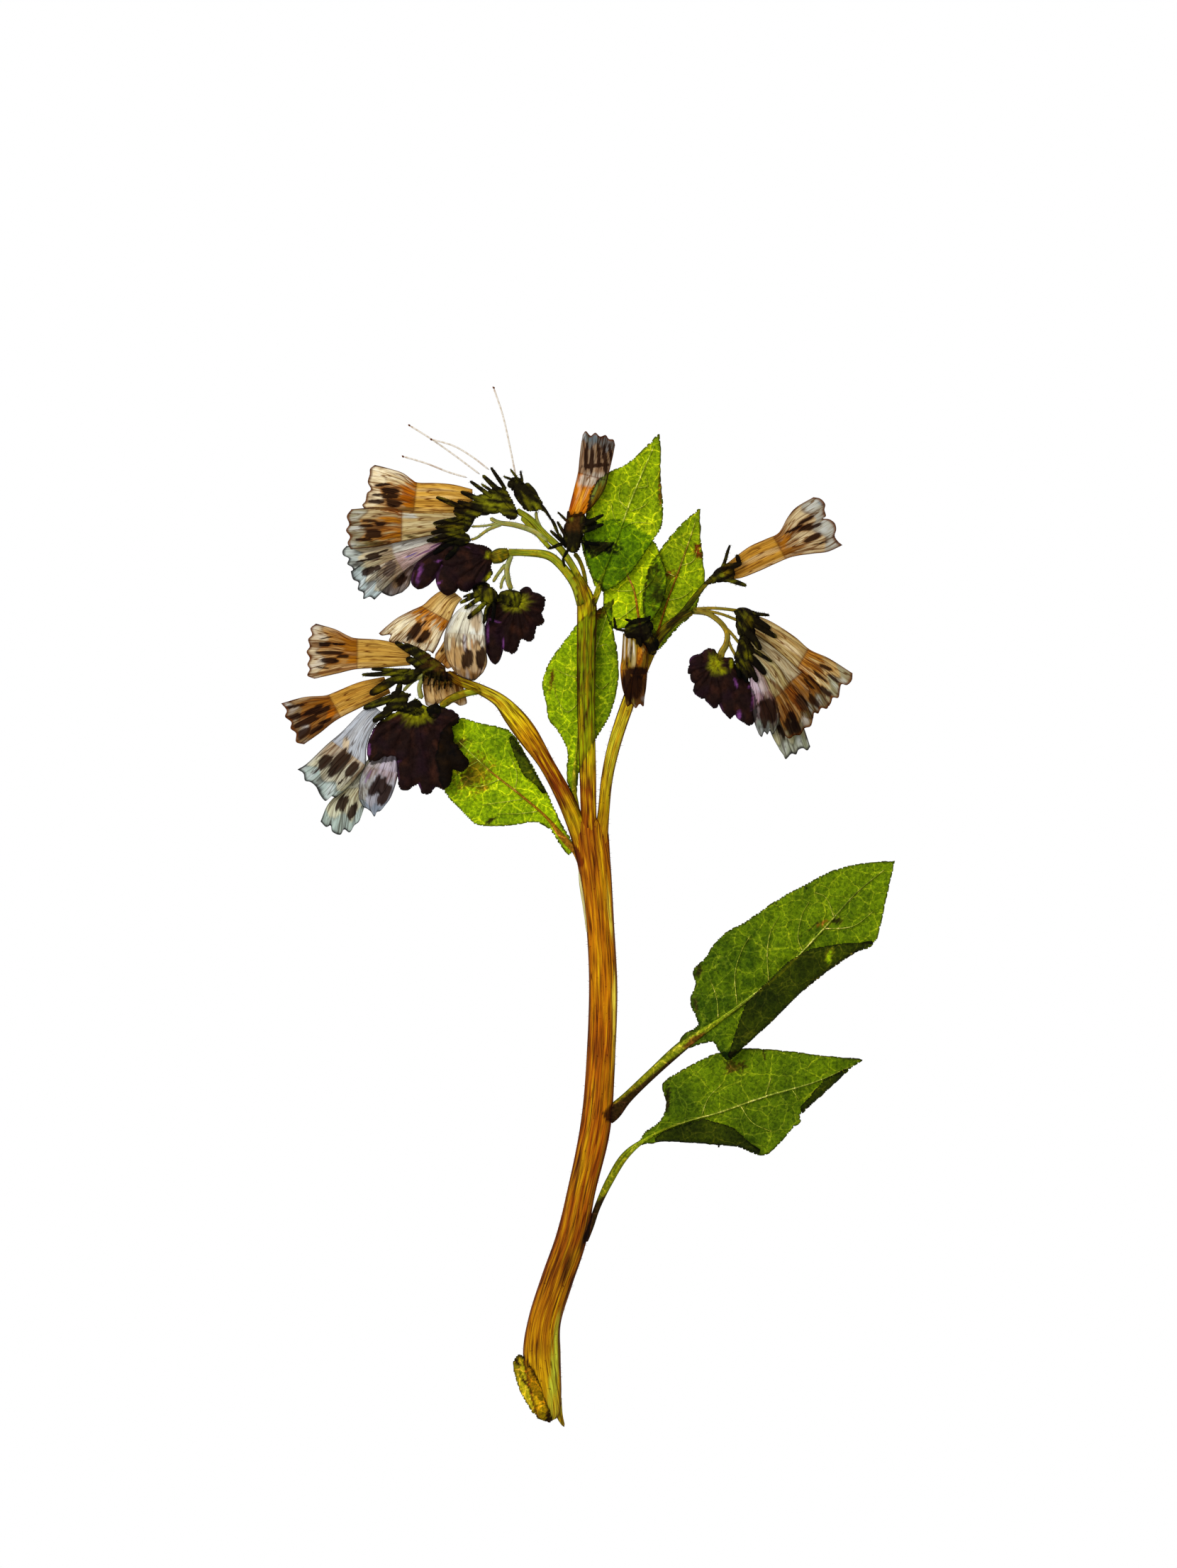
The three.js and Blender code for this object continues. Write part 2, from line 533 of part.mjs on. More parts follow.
lay("buds_7", BUD, buds(
  [[19.4, 28, 1.2], [17.4, 29, 1.7], [15, 30, 1.6]],
  [
    [[19.2, 28.6, 0.9], [19.9, 26.4, 1.4], [20, 24.4, 1.2], [20, 23.4, 0.6]],
    [[17.6, 28.6, 1.2], [17.8, 26.6, 1.3], [18, 25, 0.9], [18, 24.2, 0.5]],
    [[16.2, 28.8, 1.1], [16, 27.2, 1.2], [16, 26, 0.8], [16, 25.5, 0.4]],
    [[15.4, 29.2, 1], [14.6, 27.8, 1.1], [14.3, 27, 0.8], [14.2, 26.6, 0.4]],
    [[15, 30, 1], [13.8, 29.4, 1], [13, 29.5, 0.6]],
    [[15, 30.6, 1], [14, 31.2, 0.9], [13, 30.6, 0.6]],
    [[15.8, 30.8, 0.9], [15.4, 32, 0.9], [15.6, 32.8, 0.5]],
  ],
  CALYX,
));

// Styles left on the spent calyces: a thread with a knob at its tip
const styles = [
  [[-8.9, 53.7], [-9.7, 57.8], [-10.7, 62.3], [-11.9, 65.93]],
  [[-13.6, 54.9], [-16.8, 57.3], [-19.8, 59.4], [-22.6, 61.15]],
  [[-12.4, 55.4], [-14.6, 57.1], [-17, 58.5], [-19.8, 59.3]],
  [[-15.2, 54.5], [-17.6, 55.2], [-20.4, 56.3], [-23.4, 57.2]],
];
const STYLE_HEIGHTS = [CALYX, CALYX, STYLE_OVER, CALYX];
styles.forEach((route, i) => {
  const z = STYLE_HEIGHTS[i];
  const [tipX, tipY] = route.at(-1);
  const knob = [
    [tipX - 0.12, tipY - 0.05, 0.15],
    [tipX, tipY, 0.28],
    [tipX + 0.08, tipY + 0.12, 0.12],
  ];
  lay(`style_${i + 1}`, THREAD, [
    strand(level(route.map(([x, y]) => [x, y, THREAD_WIDTH]), z), { sides: 4, steps: 2 }),
    strand(level(knob, z), { sides: 5, steps: 1 }),
  ]);
});

// A leaf: a flat blade, flaps folded over it, a thick midrib that runs on as its stalk, and side veins
function leaf({ outline, midrib, veins, flaps = [], z }) {
  const top = z + BLADE;
  const rib = midrib.map(([x, y, width, lift = 0]) => {
    const depth = Math.min(RIB_DEPTH, width + 0.1);
    return [x, y, top - RIB_SINK + lift, width, depth];
  });
  const bendDepth = (FOLD + BLADE) / 2;
  const flap = ([edge, inner]) => [
    plate([...edge, ...[...inner].reverse()], z + FOLD, BLADE, 1),
    strand(edge.map(([x, y]) => [x, y, z + bendDepth, FOLD_EDGE, bendDepth]), { sides: 6, steps: 1 }),
  ];
  return [
    plate(outline, z),
    strand(rib, { sides: 6, steps: 1 }),
    ...veins.map((vein) => strand(level(vein.map(([x, y]) => [x, y, VEIN]), top), { sides: 4, steps: 1 })),
    ...flaps.flatMap(flap),
  ];
}

lay("leaf_central", LEAF, leaf({
  z: LEAF_UNDER,
  outline: [
    [3.5, 39.4], [1.4, 37.9], [-0.9, 36.4], [-3, 33.8], [-4.8, 31.2], [-5.75, 28.3], [-5.2, 25.7],
    [-4.9, 23.8], [-3.3, 21.6], [-2.5, 19.6], [-2.6, 17], [-2.2, 14.7], [-1.4, 14.4], [-1.05, 17.2],
    [0.2, 19.8], [1.5, 22], [2.9, 24.5], [3.7, 27.5], [4, 30.2], [3.6, 33.5], [3.1, 36.8],
  ],
  midrib: [
    [2.6, 37.4, 0.1], [1.3, 33.5, 0.15], [0, 29, 0.2],
    [-1, 24.5, 0.2], [-1.4, 20, 0.25], [-1.75, 15.6, 0.3, 0.3],
  ],
  veins: [
    [[1.2, 33], [2.4, 33.4], [3.1, 32.4]],
    [[0, 29], [-2.2, 29.4], [-4.4, 30.4]],
    [[-0.6, 26.6], [-2.6, 24.8], [-4, 26.9], [-4.2, 28.8]],
    [[0.2, 29.6], [1.6, 27.8], [2.8, 28.6]],
  ],
}));
lay("leaf_mid_left", LEAF, leaf({
  z: LEAF_UNDER,
  outline: [
    [-19.3, 19], [-18.3, 14.9], [-16.2, 12.4], [-14.3, 10.6], [-12.2, 10.3], [-9.5, 10.4], [-6.8, 10.8],
    [-5, 10.1], [-3.4, 8], [-2.3, 6.6], [-1.9, 8.2], [-3.3, 10.5], [-4.7, 13.7], [-6.2, 16.6], [-8, 19.8],
    [-9.6, 22.2], [-11.2, 22.9], [-13.5, 23.4], [-16.3, 24], [-18.4, 22.4],
  ],
  midrib: [
    [-16.5, 21.2, 0.12], [-12.5, 17.4, 0.2], [-8.8, 14.5, 0.25], [-5.3, 11.5, 0.3],
    [-3, 8.7, 0.4, 0.2], [-1.5, 7.1, 0.45, 0.3],
  ],
  veins: [
    [[-13.8, 18.6], [-15.6, 17.6], [-17.4, 16]],
    [[-11, 16.3], [-13.4, 15.4], [-15.2, 15.5]],
    [[-8, 13.8], [-10.5, 13.4], [-13.6, 13]],
    [[-6.2, 12.2], [-8.8, 11.9], [-11.6, 11.9]],
    [[-9.2, 14.8], [-9, 17.2], [-10.2, 20]],
  ],
  flaps: [[
    [[-9.6, 22], [-8, 19.6], [-6.4, 16.8], [-5, 14.4]],
    [[-9.9, 21], [-9.3, 19.2], [-8.2, 16.8], [-5.3, 14.5]],
  ]],
}));
lay("leaf_upper_right", LEAF, leaf({
  z: LEAF_UNDER,
  outline: [
    [14.35, 50.8], [11.5, 48.3], [9, 45.1], [7.9, 43.2], [7.1, 40], [7.1, 37.4], [8.1, 34.4], [9, 32.7],
    [10.7, 34.6], [12.2, 36.1], [13.7, 37.6], [14.1, 39], [14.9, 41], [14.75, 43.7], [14.35, 47.5],
  ],
  midrib: [[13.9, 49.6, 0.1], [12.8, 46.2, 0.15], [11.5, 42.5, 0.2], [10.2, 39, 0.2], [9.2, 35.8, 0.25]],
  veins: [
    [[12.6, 45.6], [11.4, 46.4]],
    [[11.3, 42], [9.6, 42.6], [8.4, 42.2]],
    [[11.8, 43.4], [13.4, 44], [14, 45.6]],
    [[10.2, 39], [12, 39.4], [13.4, 40.4]],
  ],
}));
lay("leaf_upper_low", LEAF, leaf({
  z: LEAF_MIDDLE,
  outline: [
    [-0.9, 46.8], [-0.4, 44.4], [0.5, 42], [1.9, 40.2], [2.1, 38], [3.1, 35.7], [4.6, 35.4], [7.2, 35.7],
    [9.2, 38], [10.1, 41.5], [9.3, 44.5], [8.4, 46.6], [6, 48.4], [3.5, 49.2], [0.8, 48.7],
  ],
  midrib: [
    [3.8, 45.6, 0.12], [4.7, 43, 0.15], [5.9, 40.2, 0.2],
    [6.4, 37.4, 0.25], [6.8, 34.6, 0.3], [7.5, 32.4, 0.35],
  ],
  veins: [
    [[5.9, 40.2], [3.6, 40.2], [2.6, 41]],
    [[6.3, 38.4], [4.6, 37], [3.6, 36.4]],
    [[6.2, 39.6], [8, 41.2], [9, 43]],
  ],
  flaps: [[
    [[-0.6, 46.2], [0.1, 44.8], [0.5, 44.2]],
    [[-0.2, 46.3], [3.6, 46.3], [1, 44.4]],
  ]],
}));
lay("leaf_upper_top", LEAF, leaf({
  z: LEAF_OVER,
  outline: [
    [9.1, 60.2], [7.4, 58.4], [5.5, 56.7], [3.9, 55.7], [2.7, 55.2], [1.2, 53.9], [0.2, 51.8], [-0.2, 49.6],
    [-0.5, 47], [-0.2, 44.4], [0.5, 42], [1.3, 40.2], [3.3, 40.6], [5.3, 42.2], [7.5, 45.2], [9.2, 48],
    [9.6, 50.3], [9.3, 54.2], [9.3, 57],
  ],
  midrib: [
    [8.6, 58.8, 0.1], [7, 55.2, 0.15], [5.2, 50.8, 0.2], [3.7, 46.6, 0.22],
    [2.2, 42.8, 0.3], [1.5, 40.6, 0.4, -0.1], [1, 39.2, 0.4, -0.1],
  ],
  veins: [
    [[5.2, 50.2], [4, 51.8], [4.2, 53.6]],
    [[5.4, 50.2], [7, 50.8], [7.8, 51.6]],
    [[4.3, 48.2], [3.4, 49.4], [2.9, 51.6]],
    [[4.2, 48], [6, 48.8], [8.4, 48.6]],
    [[6.2, 53.2], [7.6, 53.4], [7.4, 54.6]],
  ],
}));
lay("leaf_lower_big", LEAF, leaf({
  z: LEAF_MIDDLE,
  outline: [
    [39, 5.9], [35, 5.6], [31.2, 4.7], [27.6, 2.9], [23.8, 0.8], [20.2, -1.7], [17, -3.6], [14.9, -6.4],
    [13.4, -8], [13.7, -9.8], [13, -12], [14, -14.9], [12.2, -16.2], [11.4, -18.4], [13.6, -17.6],
    [15.8, -17.1], [16.7, -18.3], [18, -19.4], [20, -17.6], [23.5, -14.4], [26.9, -11], [30.2, -8.3],
    [33.7, -5.9], [36.5, -4.4], [37.9, 0.9],
  ],
  midrib: [
    [37.8, 4.9, 0.1], [34, 1.7, 0.15], [29.9, -2.8, 0.2], [25.5, -7.4, 0.25], [21, -11.2, 0.35],
    [16.5, -14.5, 0.5], [12.2, -17.5, 0.7, -0.1], [8.1, -21.2, 0.65, -0.2],
    [5.1, -24.1, 0.7, -0.3], [3.4, -25.9, 1, -0.3],
  ],
  veins: [
    [[30, -2.7], [33.6, -2.4], [36.4, -0.4]],
    [[31.3, -1.3], [30.3, 1.2], [28.6, 2]],
    [[27.3, -5.6], [26.7, -3.8], [27.2, -1], [28.2, 0.8]],
    [[23, -9.4], [22.8, -6], [23.2, -3.2], [24.4, -1]],
    [[19, -12.5], [18.7, -8.5], [19.6, -5.4], [20.8, -3.4]],
    [[16.6, -14.2], [16.4, -11.6], [15.6, -9.2]],
  ],
  flaps: [[
    [[36.4, -4.5], [33.7, -5.9], [30.2, -8.3], [26.9, -11], [23.5, -14.4], [20, -17.6], [18, -19.3]],
    [[32.5, -4.5], [28.3, -5.2], [25.3, -6.9], [22.1, -10], [20, -12.3], [18.9, -15.3], [17.9, -18.6]],
  ]],
}));
lay("leaf_lower_small", LEAF, leaf({
  z: LEAF_UNDER,
  outline: [
    [35.2, -19.4], [30, -18.9], [24.5, -18.2], [20, -18], [16.4, -18.6], [13.3, -20], [9.7, -22.3],
    [10, -25], [9.3, -27], [7, -29], [6.8, -30.2], [10, -29.8], [16, -30.2], [19, -30.5], [22.3, -31.6],
    [24.6, -29.9], [26, -28.2], [27.1, -27.3], [27.2, -26.2], [29, -24.6], [30.8, -23], [33.4, -20.6],
  ],
  midrib: [
    [34, -20, 0.1], [29, -22.2, 0.15], [22.5, -24.1, 0.2], [17, -26, 0.22], [11.5, -27.6, 0.3],
    [7.6, -29.4, 0.4], [4.8, -31.6, 0.5, 0.1], [2.8, -34.8, 0.5, 0.2],
    [1.3, -38, 0.4, 0.3], [0.4, -40.6, 0.4, 0.3],
  ],
  veins: [
    [[14.5, -26.5], [15.4, -24.2], [17.2, -22.4]],
    [[22.6, -24], [23.4, -21.4]],
    [[19.4, -25.2], [21, -27.4], [23.6, -28.6]],
    [[26, -23.2], [27, -24.6]],
  ],
  flaps: [
    [
      [[8.4, -29.7], [13, -29.9], [19, -30.4], [22.2, -31.5]],
      [[9.5, -28.5], [14.8, -26.8], [18.6, -28], [21.4, -30.6]],
    ],
    [
      [[27.3, -26.2], [29, -24.6], [30.8, -23], [33.2, -20.7]],
      [[27.1, -25.3], [28.4, -23.8], [30, -21.9], [32.6, -20.8]],
    ],
  ],
}));

export default root;
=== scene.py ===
import math
import random

import bmesh
import bpy
import numpy as np
from mathutils import Matrix, Vector, noise
from mathutils.bvhtree import BVHTree


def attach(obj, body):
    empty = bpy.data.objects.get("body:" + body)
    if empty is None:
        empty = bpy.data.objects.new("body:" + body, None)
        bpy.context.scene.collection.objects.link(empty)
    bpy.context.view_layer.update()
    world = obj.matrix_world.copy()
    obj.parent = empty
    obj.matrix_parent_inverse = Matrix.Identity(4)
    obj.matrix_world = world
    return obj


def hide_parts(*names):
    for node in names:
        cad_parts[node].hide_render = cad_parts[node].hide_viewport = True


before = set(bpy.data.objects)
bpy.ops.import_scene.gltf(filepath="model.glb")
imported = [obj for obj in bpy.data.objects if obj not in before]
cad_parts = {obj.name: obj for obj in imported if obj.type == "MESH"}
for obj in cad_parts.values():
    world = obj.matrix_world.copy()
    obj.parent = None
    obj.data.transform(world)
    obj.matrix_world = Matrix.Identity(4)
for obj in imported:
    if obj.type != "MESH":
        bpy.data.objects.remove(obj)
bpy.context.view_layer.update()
random.seed(11)

# Sizes are in millimetres and turned into metres when a piece is finished
MM = 0.001
BLADE = 0.62  # thickness of a pressed leaf, with the air caught under it
FOLD = 0.95  # height of a folded flap over its own blade
SKIN = 0.36  # thickness of the leaf tissue alone
COROLLA = 0.42  # half thickness of a pressed corolla
FORK_LEVEL = 1.9  # height of the middle of the thin flower stalks
STYLE_LEVEL = 1.9
TOP_STYLE_LEVEL = 2.7  # the third style lies over the second
HAIR_RADIUS = 0.026
LOWEST_SKIN = 0.02  # no skin and no hair reaches down to the table
LOWEST_HAIR = 0.03
# How finely the sheets are cut
LEAF_STEP = 0.2
RING_STEP = 0.15
# How an eye's colour value turns into light, and the least light that any tissue lets through
GAMMA = 2.2
DARKEST = 0.0012
# How deep the painted shade is that what lies under a piece puts into its colour, as light from the table
# below would be dimmed: by its finish or, for a few pieces, by their nodes
PAINTED_SHADE_DEPTH = {
    "stalk": 0.6, "green_stalk": 0.6, "leaf": 0.8, "petal": 0.55, "young_petal": 0.45, "bristly": 0.6,
    "bud": 0.6, "thread": 0.3, "corolla_2b": 0.12, "corolla_4": 1.2, "leaf_upper_top": 1.1,
}

# Where each strand and sheet runs: the same lines as the solids
MAIN_STALK = [
    [-4.9, -65.4, 0.9, 1.3, 0.7], [-5.2, -62, 0.9, 1.9, 1], [-5.8, -57, 0.95, 2.35, 1.1],
    [-5.45, -52.5, 0.95, 2.05, 1.1], [-3.9, -47.5, 0.95, 2, 1.1], [-2, -42, 0.95, 1.95, 1.1],
    [-0.75, -36, 0.95, 1.75, 1.1], [0.9, -28.5, 0.95, 1.9, 1.1], [1.6, -21.5, 0.95, 1.82, 1.1],
    [2, -11, 0.95, 1.78, 1.1], [1.6, -2, 0.95, 1.75, 1.1], [0.95, 5, 0.95, 2.05, 1.1], [0.4, 9, 0.95, 2.3, 1],
    [0.3, 11.5, 0.95, 1.9, 0.8],
]
LEFT_BRANCH = [
    [-0.4, 7, 0.95, 1.1, 0.8], [-1.4, 10.4, 0.95, 1.15, 0.8], [-2.9, 14, 0.95, 1.1, 0.75],
    [-5.2, 18.2, 0.95, 1, 0.7], [-7.6, 21.9, 1, 1.35, 0.7], [-9.4, 24.3, 1.2, 1.25, 0.65],
    [-11.2, 26.3, 1.6, 0.85, 0.6], [-13.7, 27.7, 2, 0.65, 0.5], [-16, 28.6, 2.1, 0.6, 0.45],
    [-18, 29.7, 2.1, 0.6, 0.45],
]
CENTRAL_BRANCH = [
    [0.4, 8, 1, 1, 0.9], [0.15, 12, 1.2, 0.98, 0.8], [0.05, 17, 1.8, 1.05, 0.7], [-0.15, 24, 1.9, 1.12, 0.7],
    [-0.15, 32, 1.9, 1.15, 0.7], [-0.05, 37.6, 1.9, 1.25, 0.65], [-0.3, 39.4, 1.9, 1.05, 0.6],
    [-0.8, 41, 1.9, 0.7, 0.5], [-1.6, 42.4, 1.9, 0.5, 0.4],
]
RIGHT_BRANCH = [
    [1.6, 7.5, 0.95, 1, 0.8], [2.05, 12, 0.95, 0.75, 0.75], [2.5, 16.5, 0.95, 0.75, 0.7],
    [3.5, 21, 0.95, 0.82, 0.7], [5.1, 25.8, 1.1, 0.85, 0.65], [6.5, 29.3, 1.6, 0.85, 0.6],
    [8.6, 33.7, 1.85, 0.7, 0.55], [10.2, 35.6, 1.85, 0.6, 0.5], [12, 36.9, 1.85, 0.5, 0.45],
    [13.4, 37.6, 1.85, 0.5, 0.4],
]
CUT_END_SCALE = [
    [-8.9, -56.8], [-7.8, -57.4], [-6.3, -59.8], [-5.3, -62.5], [-4.5, -65.1], [-6, -64.9], [-7.6, -63.2],
    [-8.9, -60.6], [-9.45, -58.2],
]
CUT_END_SPLINTER = [
    [-3.8, -62, 0.7, 0.5, 0.4], [-3.6, -64.4, 0.6, 0.45, 0.35], [-2.95, -66.1, 0.5, 0.15, 0.15],
]
STYLES = [
    [[-8.9, 53.7], [-9.7, 57.8], [-10.7, 62.3], [-11.9, 65.93]],
    [[-13.6, 54.9], [-16.8, 57.3], [-19.8, 59.4], [-22.6, 61.15]],
    [[-12.4, 55.4], [-14.6, 57.1], [-17, 58.5], [-19.8, 59.3]],
    [[-15.2, 54.5], [-17.6, 55.2], [-20.4, 56.3], [-23.4, 57.2]],
]
FORKS = [
    [
        [-0.6, 38.2, 0.7], [-1.6, 41, 0.6], [-3.4, 43.4, 0.55], [-5.2, 44.7, 0.55], [-8.2, 45, 0.45],
        [-10.2, 45, 0.5],
    ],
    [[-9.8, 45.1, 0.5], [-11.2, 44.6, 0.95], [-12.4, 44.1, 0.6]],
    [
        [-0.1, 38.8, 0.6], [-1.2, 42, 0.45], [-3.2, 45.2, 0.45], [-5.4, 47.3, 0.45], [-7.3, 49.3, 0.4],
        [-9.1, 50.4, 0.4],
    ],
    [[-4.6, 45.4, 0.3], [-6.6, 47.6, 0.3], [-8.4, 49.5, 0.3]],
    [[-5.6, 47.4, 0.25], [-6.4, 49.2, 0.22], [-6.5, 50.3, 0.2]],
    [[-4.9, 46.5, 0.4], [-7, 47.8, 0.38], [-9.2, 48.5, 0.35], [-11.2, 48.8, 0.3], [-12.4, 49.4, 0.25]],
    [[-11, 48.8, 0.2], [-13, 48.4, 0.15], [-14.8, 48.3, 0.15]],
    [[-10.8, 48.7, 0.3], [-12.6, 47.9, 0.22], [-14, 46.9, 0.18], [-14.9, 46.6, 0.15]],
    [[-9.6, 44.8, 0.3], [-10.2, 43, 0.35], [-10, 41.3, 0.35], [-9.6, 40.2, 0.3]],
    [[-10.3, 43.6, 0.25], [-11.4, 42.2, 0.22], [-12, 41.2, 0.2]],
    [[-10.1, 42.6, 0.2], [-10.8, 41.4, 0.2], [-11, 40.3, 0.18]],
    [[-0.2, 39.5, 0.35], [-0.35, 42, 0.26], [-0.95, 43.9, 0.26], [-1.7, 45, 0.3]],
    [[-13.4, 27.6, 0.5], [-15.4, 27.2, 0.5], [-17.4, 26.4, 0.5], [-18.7, 25.4, 0.45]],
    [[-17.6, 29.4, 0.4], [-20.2, 29.6, 0.4], [-22, 28.8, 0.25], [-23.4, 27.4, 0.2]],
    [[-20.6, 29.5, 0.3], [-21.3, 28, 0.3], [-21, 26.4, 0.35]],
    [[10, 35.4, 0.4], [12, 37.3, 0.4], [13.6, 39.3, 0.38], [14.9, 40.9, 0.3], [15.9, 41.7, 0.3]],
    [
        [13.2, 37.6, 0.4], [15.2, 37.3, 0.35], [16.9, 36.1, 0.35], [17.7, 34.8, 0.35], [17.6, 33.4, 0.4],
        [17, 32.3, 0.45], [16.8, 31.2, 0.5],
    ],
    [[13.2, 37.8, 0.25], [16, 37.95, 0.2], [18.6, 37.7, 0.22], [19.8, 37.4, 0.3]],
    [[14.8, 37.7, 0.2], [17, 37.2, 0.18], [18.6, 36.6, 0.2], [19.8, 36.2, 0.3]],
    [[17.2, 35.7, 0.25], [18.2, 34.8, 0.2], [19.1, 33.7, 0.2], [19.8, 33, 0.25]],
    [[17.7, 34.2, 0.25], [18.2, 33, 0.2], [18.7, 32.1, 0.2], [19.2, 31.2, 0.25]],
    [[8.7, 34.2, 0.4], [8.3, 35.1, 0.3], [7.9, 35.5, 0.3]],
]
CALYX_CUPS = {
    "calyces_1": (1.9, [
        [-12.1, 50.2, -14.2, 51.2, 1], [-14.9, 48.3, -16.2, 48.9, 0.75], [-14.8, 46.7, -17.2, 46.9, 0.9],
        [-9.6, 50.2, -12, 52.3, 1.1], [-10.9, 50.4, -13, 50.8, 0.7], [-14.2, 50.2, -15.8, 47.6, 0.5],
    ]),
    "calyx_1_spent": (1.9, [[-6.3, 50.5, -8.6, 53.4, 1.3]]),
    "calyces_2": (1.2, [
        [-12.4, 41, -14.4, 39.7, 0.95], [-11.9, 40.2, -12.9, 38.3, 0.95], [-11.4, 39.5, -8.3, 38.9, 1.1],
        [-10.4, 40.3, -9.2, 38.2, 0.9],
    ]),
    "calyces_3": (1.9, [
        [-18, 29.9, -21.4, 31.4, 1], [-21.4, 29.5, -23.8, 29, 0.9], [-22.9, 27, -24.9, 26.4, 0.9],
        [-21.2, 26.2, -22.6, 24.6, 1], [-18.6, 25.5, -20.2, 24.4, 0.9], [-20.6, 24.8, -24.2, 25.6, 0.7],
        [-20.4, 30.8, -22.2, 29.4, 0.5], [-23.6, 29, -24.2, 26.6, 0.4],
    ]),
    "calyx_4": (3, [[-1.9, 45.3, -1.7, 48.8, 1.25]]),
    "calyx_5": (3.3, [[8, 35.6, 6.6, 35.1, 1]]),
    "calyx_6": (1.5, [[15.9, 41.9, 17.7, 42.7, 0.75]]),
    "calyces_7": (1.9, [
        [18.7, 37.6, 20.8, 36.9, 0.8], [18.8, 36.2, 20.7, 35.2, 0.9], [19.1, 33.9, 20.7, 33.5, 0.95],
        [18.8, 31.9, 20.6, 31.5, 0.95], [19.3, 31.4, 20.3, 29.2, 0.9], [19.9, 37.4, 19.9, 34.4, 0.8],
        [19.9, 35, 19.8, 31.6, 0.8],
    ]),
}
BUDS = {
    "buds_1": (2.1, [
        [-17.6, 45.2, 0.8], [-15.6, 44.4, 1.6], [-13.4, 43.6, 1.2],
    ], [
        [[-18, 45.4, 0.6], [-20.2, 43, 1.45], [-21.2, 41.4, 1.2], [-21.5, 40.3, 0.6]],
        [[-16.4, 45, 0.7], [-17.5, 42.2, 1.6], [-17.7, 40.4, 1.2], [-17.8, 39.5, 0.5]],
        [[-15.4, 44.4, 0.9], [-15.6, 42.4, 1.5], [-15.5, 40.9, 1], [-15.5, 40.2, 0.5]],
        [[-14, 44.2, 0.9], [-13.7, 42.6, 1.3], [-13.8, 41.2, 0.8], [-13.8, 40.8, 0.5]],
    ]),
    "buds_2": (1.1, [
        [-11.6, 37, 0.8], [-10, 36.6, 1.3], [-8.4, 37.4, 1.2],
    ], [
        [[-12, 37.2, 0.5], [-12, 35, 1.1], [-11.8, 32.8, 1.1], [-11.7, 30.8, 0.4]],
        [[-10.6, 36.8, 0.8], [-10, 34.6, 1.1], [-9.6, 32.8, 0.8], [-9.5, 32.4, 0.4]],
        [[-9, 36.9, 0.8], [-8, 35.4, 1.1], [-7.5, 34.3, 0.8], [-7.4, 34, 0.5]],
        [[-8.4, 37.6, 0.8], [-6.9, 36.9, 1], [-5.9, 36.5, 0.7], [-5.6, 36.4, 0.4]],
        [[-8.4, 38.2, 0.7], [-6.8, 38.9, 1], [-5.9, 39, 0.7], [-5.5, 38.9, 0.4]],
        [[-7.4, 38.8, 0.5], [-7.6, 40, 0.6], [-8.2, 40.6, 0.4]],
    ]),
    "buds_3": (1.85, [
        [-24.6, 22.6, 1.2], [-22, 21.8, 1.8], [-19, 21.6, 1.8],
    ], [
        [[-24.6, 22.8, 0.9], [-26, 21, 1.6], [-26.8, 19.2, 1.2], [-27, 18.4, 0.6]],
        [[-22.8, 21, 1.2], [-22.9, 18, 1.3], [-23, 15.9, 0.9], [-23, 15.1, 0.5]],
        [[-21, 21, 1.2], [-20.6, 17.4, 1.3], [-20.3, 15.2, 0.9], [-20.2, 14.5, 0.5]],
        [[-19.4, 20.6, 1.2], [-18.7, 17.6, 1.3], [-18.1, 16, 0.9], [-17.9, 15.4, 0.5]],
        [[-19, 22.2, 1.2], [-17.8, 22, 1.1], [-17.1, 21.9, 0.8]],
        [[-19.6, 23, 1], [-17.6, 24.2, 0.9], [-16.6, 24.3, 0.5]],
        [[-18.4, 19.6, 1], [-16.4, 18.7, 1.1], [-15.4, 18.5, 0.6]],
    ]),
    "buds_7": (1.9, [
        [19.4, 28, 1.2], [17.4, 29, 1.7], [15, 30, 1.6],
    ], [
        [[19.2, 28.6, 0.9], [19.9, 26.4, 1.4], [20, 24.4, 1.2], [20, 23.4, 0.6]],
        [[17.6, 28.6, 1.2], [17.8, 26.6, 1.3], [18, 25, 0.9], [18, 24.2, 0.5]],
        [[16.2, 28.8, 1.1], [16, 27.2, 1.2], [16, 26, 0.8], [16, 25.5, 0.4]],
        [[15.4, 29.2, 1], [14.6, 27.8, 1.1], [14.3, 27, 0.8], [14.2, 26.6, 0.4]],
        [[15, 30, 1], [13.8, 29.4, 1], [13, 29.5, 0.6]],
        [[15, 30.6, 1], [14, 31.2, 0.9], [13, 30.6, 0.6]],
        [[15.8, 30.8, 0.9], [15.4, 32, 0.9], [15.6, 32.8, 0.5]],
    ]),
}
